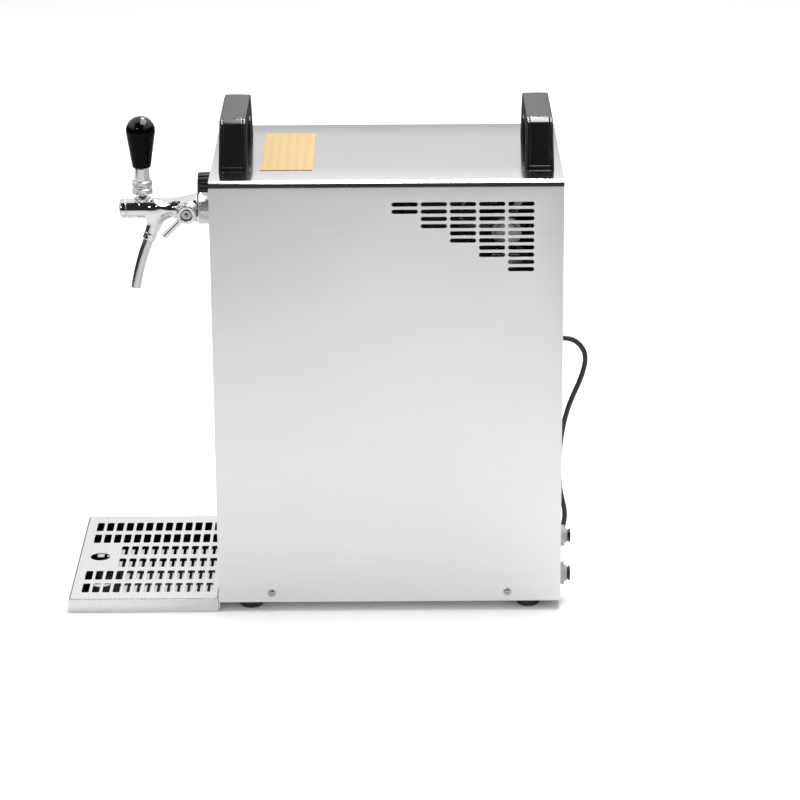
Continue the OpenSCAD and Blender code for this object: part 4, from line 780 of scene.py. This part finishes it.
def make_spout():
    """The bent outlet tube, with a rounded lip."""
    turn, length = math.radians(12), 61.0
    bend = length / turn
    socket, mouth = (np.array(along_outlet(d)) for d in (OUTLET_L - SPOUT_SOCKET, OUTLET_L))
    forward = np.array((0, -math.sin(OUTLET_TILT), -math.cos(OUTLET_TILT)))
    inward = np.array((0, math.cos(OUTLET_TILT), -math.sin(OUTLET_TILT)))
    path = [(socket, OUTLET_TILT), (mouth, OUTLET_TILT)]
    steps = 24
    for k in range(1, steps + 1):
        a = turn * k / steps
        side, down = bend * (1 - math.cos(a)), bend * math.sin(a)
        path.append((mouth + down * forward + side * inward, OUTLET_TILT - a))
    sections = [(p, a, SPOUT_R) for p, a in path]
    tip, lean = path[-1]
    sections += [(tip, lean, SPOUT_R - 0.25), (tip, lean, SPOUT_BORE + 0.25)]
    sections += [(p, a, SPOUT_BORE) for p, a in reversed(path)]
    points, faces, around = [], [], 64
    for p, a, r in sections:
        across = np.array((0, math.cos(a), -math.sin(a)))
        for k in range(around):
            t = 2 * math.pi * k / around
            points.append(p + r * (math.cos(t) * np.array((1, 0, 0)) + math.sin(t) * across))
    count = len(sections)
    for i in range(count):
        j = (i + 1) % count
        for k in range(around):
            n = (k + 1) % around
            faces.append((i * around + k, i * around + n, j * around + n, j * around + k))
    return finish_mesh("spout_tube", placed(points, TAP), faces, "spout_steel", "cabinet", ["tap_spout"])


def hub_chrome_painted_shade(centre):
    """Chrome with painted shade: a dark colour in the recess round the screw of the flow lever's hub."""
    look = Look("hub_chrome_painted_shade", (0.70, 0.705, 0.715), 0.05, metallic=1.0)
    away = look.node("ShaderNodeVectorMath")
    away.operation = "DISTANCE"
    away.inputs[1].default_value = centre
    look.link(look.place, away.inputs[0])
    # Painted shade: near the screw's seat the chrome falls to 5 % of its colour
    look.tint(away.outputs["Value"], 0.05, 1.0, 0.0064, 0.0070)
    look.gloss(look.noise(160, detail=5.0, distortion=1.5), 0.03, 0.07)
    return look.material


def control_shape(p):
    """Hub and rod of the flow control lever."""
    x0 = HUB_X + LEVER_HUB_GAP
    x1 = x0 + LEVER_HUB_L
    lean = math.radians(45)

    def arm(distance):
        return (x0 + x1) / 2, -distance * math.cos(lean), -distance * math.sin(lean)

    body = rod(p, (x0, 0, 0), (x1, 0, 0), HUB_R, edge=1.8)
    body = union(body, rod(p, arm(HUB_R - 3), arm(38), 3.8, edge=0.6), 1.0)
    body = without(body, rod(p, (x1 - LEVER_HUB_RECESS, 0, 0), (x1 + 2, 0, 0), HUB_R - 4.5), 0.5)
    return without(body, rod(p, (x0 - 2, 0, 0), (x1, 0, 0), SPINDLE_R + 0.05))


def make_control():
    """The flow control's lever, and the screw in its hub."""
    points, faces = net(control_shape, (22, -31, -31), (31, 12, 12), step=0.6)
    origin = TAP + Vector((0, CONTROL_Y * MM, 0))
    seat = origin + Vector(((HUB_X + LEVER_HUB_GAP + LEVER_HUB_L - LEVER_HUB_RECESS) * MM, 0, 0))
    finish_mesh("flow_lever", placed(points, origin), faces, "tap_chrome", "flow_control", ["control_lever"],
                crease=50, look=hub_chrome_painted_shade(seat))
    radius, rim, dome = 3.8, 0.4, 3.0
    bends = np.linspace(0.12, math.pi / 2, 12)
    head = [(0, rim + dome)] + [(radius * math.sin(a), rim + dome * math.cos(a)) for a in bends]
    points, faces = turned(head + [(radius, 0), (0, 0)], 64)
    # The screw's chrome is a dark copy of the tap's: painted shade of the hub's recess
    finish_mesh("flow_lever_screw", placed(points, seat, SIDEWAYS), faces, "tap_chrome", "flow_control",
                look=polished("screw_chrome_painted_shade", (0.26, 0.26, 0.27)))


def make_thermostat():
    """Fluted knob with a raised pointer."""
    low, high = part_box("thermostat_knob")
    radius, length = extent("thermostat_knob").x / 2, (high.y - low.y) / MM
    flutes, skirt, bore, bore_depth = 18, 5.0, 3.05, 14.0
    grip = radius - 2

    def shape(r, height, angle):
        if height < skirt + 0.7 or r < grip - 1.6:
            return r
        wave = max(0.0, math.cos(flutes * angle)) ** 1.5
        return r - 1.1 * wave

    profile = [(0, bore_depth), (bore, bore_depth), (bore, 0), (radius - 0.6, 0), (radius, 0.6),
               (radius, skirt - 1.0), (radius - 0.5, skirt - 0.2), (grip + 0.6, skirt), (grip, skirt + 0.5)]
    profile += [(grip - 0.8 * t, skirt + 1 + (length - skirt - 2.2) * t) for t in np.linspace(0, 1, 8)]
    profile += [(grip - 1.1, length - 0.5), (grip - 1.8, length - 0.1), (grip - 2.6, length),
                (grip - 4.5, length - 0.1), (grip - 5.2, length - 0.6), (0, length - 0.6)]
    points, faces = turned(profile, flutes * 10, shape=shape)
    origin = (middle("thermostat_knob").x, high.y, middle("thermostat_knob").z)
    black = moulded("dial_plastic", (0.004, 0.004, 0.004), 0.22, 0.32)
    finish_mesh("thermostat_dial_knob", placed(points, origin, FORWARD), faces, "black_plastic",
                "thermostat_dial", ["thermostat_knob"], crease=40, look=black)
    start, end = (-0.7, grip - 9, length - 1.4), (0.7, grip - 1.6, length - 0.05)
    points, faces = net(lambda p: brick(p, start, end, edge=0.3), start, (*end[:2], length), step=0.25)
    finish_mesh("thermostat_pointer", placed(points, origin, FORWARD), faces, "grey_plastic",
                "thermostat_dial")


# Handles

HANDLE_L, HANDLE_W, HANDLE_H = 133.0, 30.0, 55.0
HANDLE_LEG, HANDLE_GRIP, HANDLE_CROWN = 21.0, 18.0, 1.2
HANDLE_SPLAY, HANDLE_FLARE = 18.0, 1.3
HANDLE_CORNER, HAND_CORNER = 8.5, 13.0
LEG_LEAN = math.atan(HANDLE_SPLAY / HANDLE_H)
CAP_W, CAP_T, CAP_LOW, CAP_GAP = 22.0, 1.4, 4.0, 0.7


def splayed(x, z, half, top, corner):
    """Distance to an outline with a flat top, rounded corners and sides that lean out."""
    side = (np.abs(x) - half - (top - z) * math.tan(LEG_LEAN)) * math.cos(LEG_LEAN)
    return round_corner(side, z - top, corner)


def handle_shape(p):
    """A carrying handle: two leaning legs and a crowned grip."""
    x, y, z = p[..., 0], p[..., 1], p[..., 2]
    outline = splayed(x, z, HANDLE_L / 2, HANDLE_H, HANDLE_CORNER)
    opening = splayed(x, z, HANDLE_L / 2 - HANDLE_LEG, HANDLE_H - HANDLE_GRIP, HAND_CORNER)
    width = np.abs(y) - HANDLE_W / 2 - HANDLE_FLARE * (1 - z / HANDLE_H)
    body = round_corner(np.maximum(outline, -opening), width, 1.8)
    crown = z - HANDLE_H + HANDLE_CROWN * (2 * y / HANDLE_W) ** 2
    body = round_corner(body, crown, 0.8)
    return np.maximum(body, -z)


def cap_zone(p, gap):
    """Where a cap is let into the leg's end face and over its rounded top edge."""
    x, y, z = p[..., 0], p[..., 1], p[..., 2]
    outline = splayed(x, z, HANDLE_L / 2, HANDLE_H, HANDLE_CORNER)
    bow = 0.8 * (1 - (2 * y / CAP_W) ** 2)
    edge = HANDLE_L / 2 - HANDLE_CORNER * math.tan(math.pi / 4 - LEG_LEAN / 2) + 0.6
    limits = (-outline - CAP_T, np.abs(y) - CAP_W / 2, CAP_LOW - z, edge - bow - np.abs(x))
    return np.maximum.reduce(limits) - gap


def make_handles():
    """Both handles, and the caps let into their legs."""
    half, wide = HANDLE_L / 2 + HANDLE_SPLAY, HANDLE_W / 2 + HANDLE_FLARE
    grip = net(lambda p: without(handle_shape(p), cap_zone(p, CAP_GAP)),
               (-half, -wide, 0), (half, wide, HANDLE_H), step=0.7)
    cap = net(lambda p: round_corner(handle_shape(p), cap_zone(p, 0), 0.8),
              (HANDLE_L / 2 - HANDLE_CORNER - 1, -CAP_W / 2, CAP_LOW), (half, CAP_W / 2, HANDLE_H),
              step=0.4)
    seats, look = [], handle_plastic()
    for node in ("handle_front", "handle_rear"):
        origin = (0, middle(node).y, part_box(node)[0].z)
        finish_mesh(node + "_grip", placed(grip[0], origin), grip[1], "black_plastic", "cabinet", [node],
                    crease=50, look=look)
        seats += [(origin, UPRIGHT), (origin, HALF_TURN)]
    finish_mesh("handle_end_caps", *copies(*cap, seats), "black_plastic", "cabinet", ["handle_caps"],
                crease=50, look=look)


# Screws, plug and small pieces

SCREW_SPAN, REAR_SCREW_X = 0.138, 0.076


def make_screws():
    """Pan-head screws with a cross recess."""
    radius, height, shank, length, bow = 4.8, 2.6, 2.4, 11.0, 7.2
    wing, reach, depth = 0.55, 2.6, 1.5

    def screw(p):
        dome = np.linalg.norm(p - np.array((0, 0, height - bow)), axis=-1) - bow
        head = round_corner(rod(p, (0, 0, 0), (0, 0, height), radius, edge=0.5), dome, 0.4)
        for x, y in ((reach, wing), (wing, reach)):
            head = without(head, brick(p, (-x, -y, height - depth), (x, y, height + 1), edge=0.15), 0.2)
        return union(head, rod(p, (0, 0, -length), (0, 0, 0.5), shank))

    points, faces = net(screw, (-radius, -radius, -length), (radius, radius, height), step=0.33)
    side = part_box("cover_shell")[1].x
    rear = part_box("rear_panel")[1].y
    centre, z = middle("cover_shell").y, middle("case_screws").z
    seats = [((s * side, centre + t * SCREW_SPAN, z), ((0, s, 0), (0, 0, 1), (s, 0, 0)))
             for s in (-1, 1) for t in (-1, 1)]
    seats += [((s * REAR_SCREW_X, rear, z), BACKWARD) for s in (-1, 1)]
    return finish_mesh("pan_head_screws", *copies(points, faces, seats), "screw_steel", "cabinet",
                       ["case_screws"], crease=40)


def make_plug():
    """Moulded two-pin plug with a ribbed strain relief."""
    centre = middle("mains_plug")
    relief, neck, head, radius = 28.0, 22.0, 20.0, 18.5
    shoulder, length = relief + neck, relief + neck + head

    def shape(r, height, angle):
        if height < relief - 2 and r > 4:
            return r - (0.7 if (height / 3.5) % 1 > 0.55 else 0.0)
        if relief + 4 < height < shoulder:
            return r - 0.5 * max(0.0, math.cos(14 * angle)) ** 2
        return r

    profile = [(0, 0), (4.2, 0)]
    profile += [(4.3 + 3.7 * t, relief * t) for t in np.linspace(0.02, 1, 60)]
    profile += [(9.4, relief + 0.4), (10, relief + 1.2)]
    profile += [(10 + 5.5 * t ** 1.4, relief + 1.2 + (neck - 2.0) * t) for t in np.linspace(0.05, 1, 20)]
    profile += [(16.5, shoulder - 0.4), (radius - 0.6, shoulder), (radius, shoulder + 0.8),
                (radius, length - 1.0), (radius - 1.0, length), (0, length)]
    points, faces = turned(profile, 112, shape=shape)
    origin = (centre.x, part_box("mains_plug")[1].y, centre.z)
    plug = finish_mesh("plug_moulding", placed(points, origin, FORWARD), faces, "dark_plastic", "cabinet",
                       ["mains_plug"])
    pin_low, pin_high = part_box("plug_pins")
    pin_r, pin_l = (pin_high.z - pin_low.z) / 2 / MM, (pin_high.y - pin_low.y) / MM
    pitch = (pin_high.x - pin_low.x) / MM - 2 * pin_r
    pin = rounded([(0, 0), (pin_r, 0), (pin_r, pin_l), (0, pin_l)], 1.2)
    seats = [((centre.x + side * pitch / 2 * MM, pin_high.y, centre.z), FORWARD) for side in (-1, 1)]
    pins = finish_mesh("plug_contacts", *copies(*turned(pin, 48), seats), "pin_nickel", "cabinet",
                       ["plug_pins"])
    return plug, pins


def make_tie():
    """A strap round the coil, bowed over the turns."""
    low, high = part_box("cord_tie")
    size, centre = (high - low) / MM, middle("cord_tie")
    half, thick, corner = size / 2, 0.8, 3.0

    def strap(p):
        x, y, z = (np.abs(p[..., i]) - half[i] for i in range(3))
        outer = round_corner(x, z, corner)
        inner = round_corner(x + thick, z + thick, corner - thick)
        return round_corner(np.maximum(outer, -inner), y, 0.2)

    points, faces = net(strap, -half, half, step=0.35)
    return finish_mesh("coil_strap", placed(points, centre), faces, "dark_plastic", "cabinet", ["cord_tie"])


make_tap_body()
make_rings()
make_tap_cap()
make_knob()
make_ferrule()
make_spout()
make_control()
make_thermostat()
make_handles()
make_screws()
plug, pins = make_plug()
tie = make_tie()


# CAD nodes that stay: their materials, and softened edges

# Edge radius of each softened node, in millimetres
EDGES = {"veneer_plate": 0.25, "drink_inlet": 0.5, "air_outlet": 0.5, "drink_inlet_collet": 0.5,
         "air_outlet_collet": 0.5, "cord_gland": 0.5, "feet": 0.8, "tap_shank": 0.4, "drip_tray": 0.3}


def dress_nodes():
    """Gives each CAD node the look of its slot, clean creases and, where listed, rounded edges."""
    slots = {s["node"]: s["material_slot"] for s in frame["record"]["subparts"]}
    for name, thing in nodes.items():
        mesh = thing.data
        mesh.materials.clear()
        mesh.materials.append(LOOKS[slots[name]])
        mesh.polygons.foreach_set("use_smooth", [True] * len(mesh.polygons))
        weld = thing.modifiers.new("weld", "WELD")
        weld.merge_threshold = 0.00001
        if name in EDGES:
            bevel = thing.modifiers.new("soft_edges", "BEVEL")
            bevel.width = EDGES[name] * MM
            bevel.segments = 3
            bevel.limit_method = "ANGLE"
            bevel.angle_limit = math.radians(40)
            bevel.harden_normals = False
        split = thing.modifiers.new("creases", "EDGE_SPLIT")
        split.split_angle = math.radians(32)
        if name in EDGES:
            flat = thing.modifiers.new("flat_faces", "WEIGHTED_NORMAL")
            flat.weight = 90


dress_nodes()


# Studio

FLOOR_LOW, FLOOR_HIGH, FLOOR_Z = (-8.0, -2.7), (3.8, 6.0), -0.0002
SEEN_LIFT, MIRRORED_LIFT, SHADE_REACH = 0.44, 0.05, 0.11


def make_floor():
    """Pale paper floor that still takes the shadow, lifted where it is seen or mirrored; the seen lift fades
    near the object, a painted contact shadow.
    """
    mesh = bpy.data.meshes.new("floor")
    (x0, y0), (x1, y1) = FLOOR_LOW, FLOOR_HIGH
    corners = ((x0, y0), (x1, y0), (x1, y1), (x0, y1))
    mesh.from_pydata([(x, y, FLOOR_Z) for x, y in corners], [], [(0, 1, 2, 3)])
    floor = bpy.data.objects.new("floor", mesh)
    bpy.context.scene.collection.objects.link(floor)
    look = Look("floor_paper", (0.95, 0.95, 0.95), 0.9)
    look.set("Specular IOR Level", 0.0)
    look.set("Emission Color", (1, 1, 1, 1))
    path = look.node("ShaderNodeLightPath").outputs
    seen = look.combine("MULTIPLY", path["Is Camera Ray"], SEEN_LIFT)
    mirrored = look.combine("MULTIPLY", path["Is Glossy Ray"], MIRRORED_LIFT)
    # Painted shadow: ambient occlusion within SHADE_REACH fades the seen lift near the object
    open_air = look.node("ShaderNodeAmbientOcclusion", Distance=SHADE_REACH).outputs["AO"]
    look.drive("Emission Strength", look.combine("MULTIPLY_ADD", seen, open_air, mirrored))
    mesh.materials.append(look.material)


EVEN_LIGHT, BRIGHT, DARK = 0.42, 1.15, 0.03


def make_world():
    """White for what is seen directly, even light, and for reflections a darker room
    on the open side (+X), low in front (-Y) and low behind."""
    world = bpy.data.worlds.new("studio")
    bpy.context.scene.world = world
    world.use_nodes = True
    tree = world.node_tree
    tree.nodes.clear()
    out = tree.nodes.new("ShaderNodeOutputWorld")
    path = tree.nodes.new("ShaderNodeLightPath")
    direction = tree.nodes.new("ShaderNodeSeparateXYZ")
    tree.links.new(tree.nodes.new("ShaderNodeTexCoord").outputs["Generated"], direction.inputs["Vector"])

    def level(axis, start, end, low, high):
        made = tree.nodes.new("ShaderNodeMapRange")
        made.interpolation_type = "SMOOTHSTEP"
        for socket, value in (("From Min", start), ("From Max", end), ("To Min", low), ("To Max", high)):
            made.inputs[socket].default_value = value
        tree.links.new(direction.outputs[axis], made.inputs["Value"])
        return made.outputs["Result"]

    def joined(a, b, operation):
        made = tree.nodes.new("ShaderNodeMath")
        made.operation = operation
        tree.links.new(a, made.inputs[0])
        tree.links.new(b, made.inputs[1])
        return made.outputs["Value"]

    open_side = level("X", 0.04, 0.16, BRIGHT, DARK)
    corners = joined(level("Y", 0.40, 0.62, DARK, BRIGHT), level("Y", -0.72, -0.56, BRIGHT, DARK), "MAXIMUM")
    low_front = joined(open_side, level("Y", -0.75, -0.40, 0.05, BRIGHT), "MINIMUM")
    low_front = joined(low_front, level("Z", 0.05, 0.20, DARK, BRIGHT), "MAXIMUM")
    room = joined(joined(open_side, corners, "MAXIMUM"), low_front, "MINIMUM")
    room = joined(room, level("Z", 0.02, 0.46, 0.26, 1.08), "MINIMUM")
    light, shine, view = (tree.nodes.new("ShaderNodeBackground") for _ in range(3))
    light.inputs["Strength"].default_value = EVEN_LIGHT
    view.inputs["Strength"].default_value = 1.0
    tree.links.new(room, shine.inputs["Strength"])
    for background in (light, shine, view):
        background.inputs["Color"].default_value = (1, 1, 1, 1)
    glossy, camera = tree.nodes.new("ShaderNodeMixShader"), tree.nodes.new("ShaderNodeMixShader")
    tree.links.new(path.outputs["Is Glossy Ray"], glossy.inputs["Fac"])
    tree.links.new(light.outputs["Background"], glossy.inputs[1])
    tree.links.new(shine.outputs["Background"], glossy.inputs[2])
    tree.links.new(path.outputs["Is Camera Ray"], camera.inputs["Fac"])
    tree.links.new(glossy.outputs["Shader"], camera.inputs[1])
    tree.links.new(view.outputs["Background"], camera.inputs[2])
    tree.links.new(camera.outputs["Shader"], out.inputs["Surface"])


def make_lamp(name, at, target, width, height, power):
    """A rectangular lamp that isn't seen by the camera itself."""
    data = bpy.data.lights.new(name, "AREA")
    data.shape = "RECTANGLE"
    data.size, data.size_y = width, height
    data.energy = power
    lamp = bpy.data.objects.new(name, data)
    lamp.location = at
    lamp.rotation_euler = (Vector(target) - Vector(at)).to_track_quat("-Z", "Y").to_euler()
    lamp.visible_camera = False
    bpy.context.scene.collection.objects.link(lamp)


make_floor()
make_world()
make_lamp("overhead_softbox", (-0.25, 0.52, 2.5), (-0.25, 0.52, 0), 2.3, 1.35, 48)
make_lamp("rear_window", (-1.5, 0.11, 2.2), (0, -0.1, 0.5), 0.45, 0.35, 20)
make_lamp("front_spot", (2.4, -1.3, 2.0), (0, -0.1, 0.5), 0.25, 0.25, 6)

bpy.context.scene.view_settings.view_transform = "Standard"
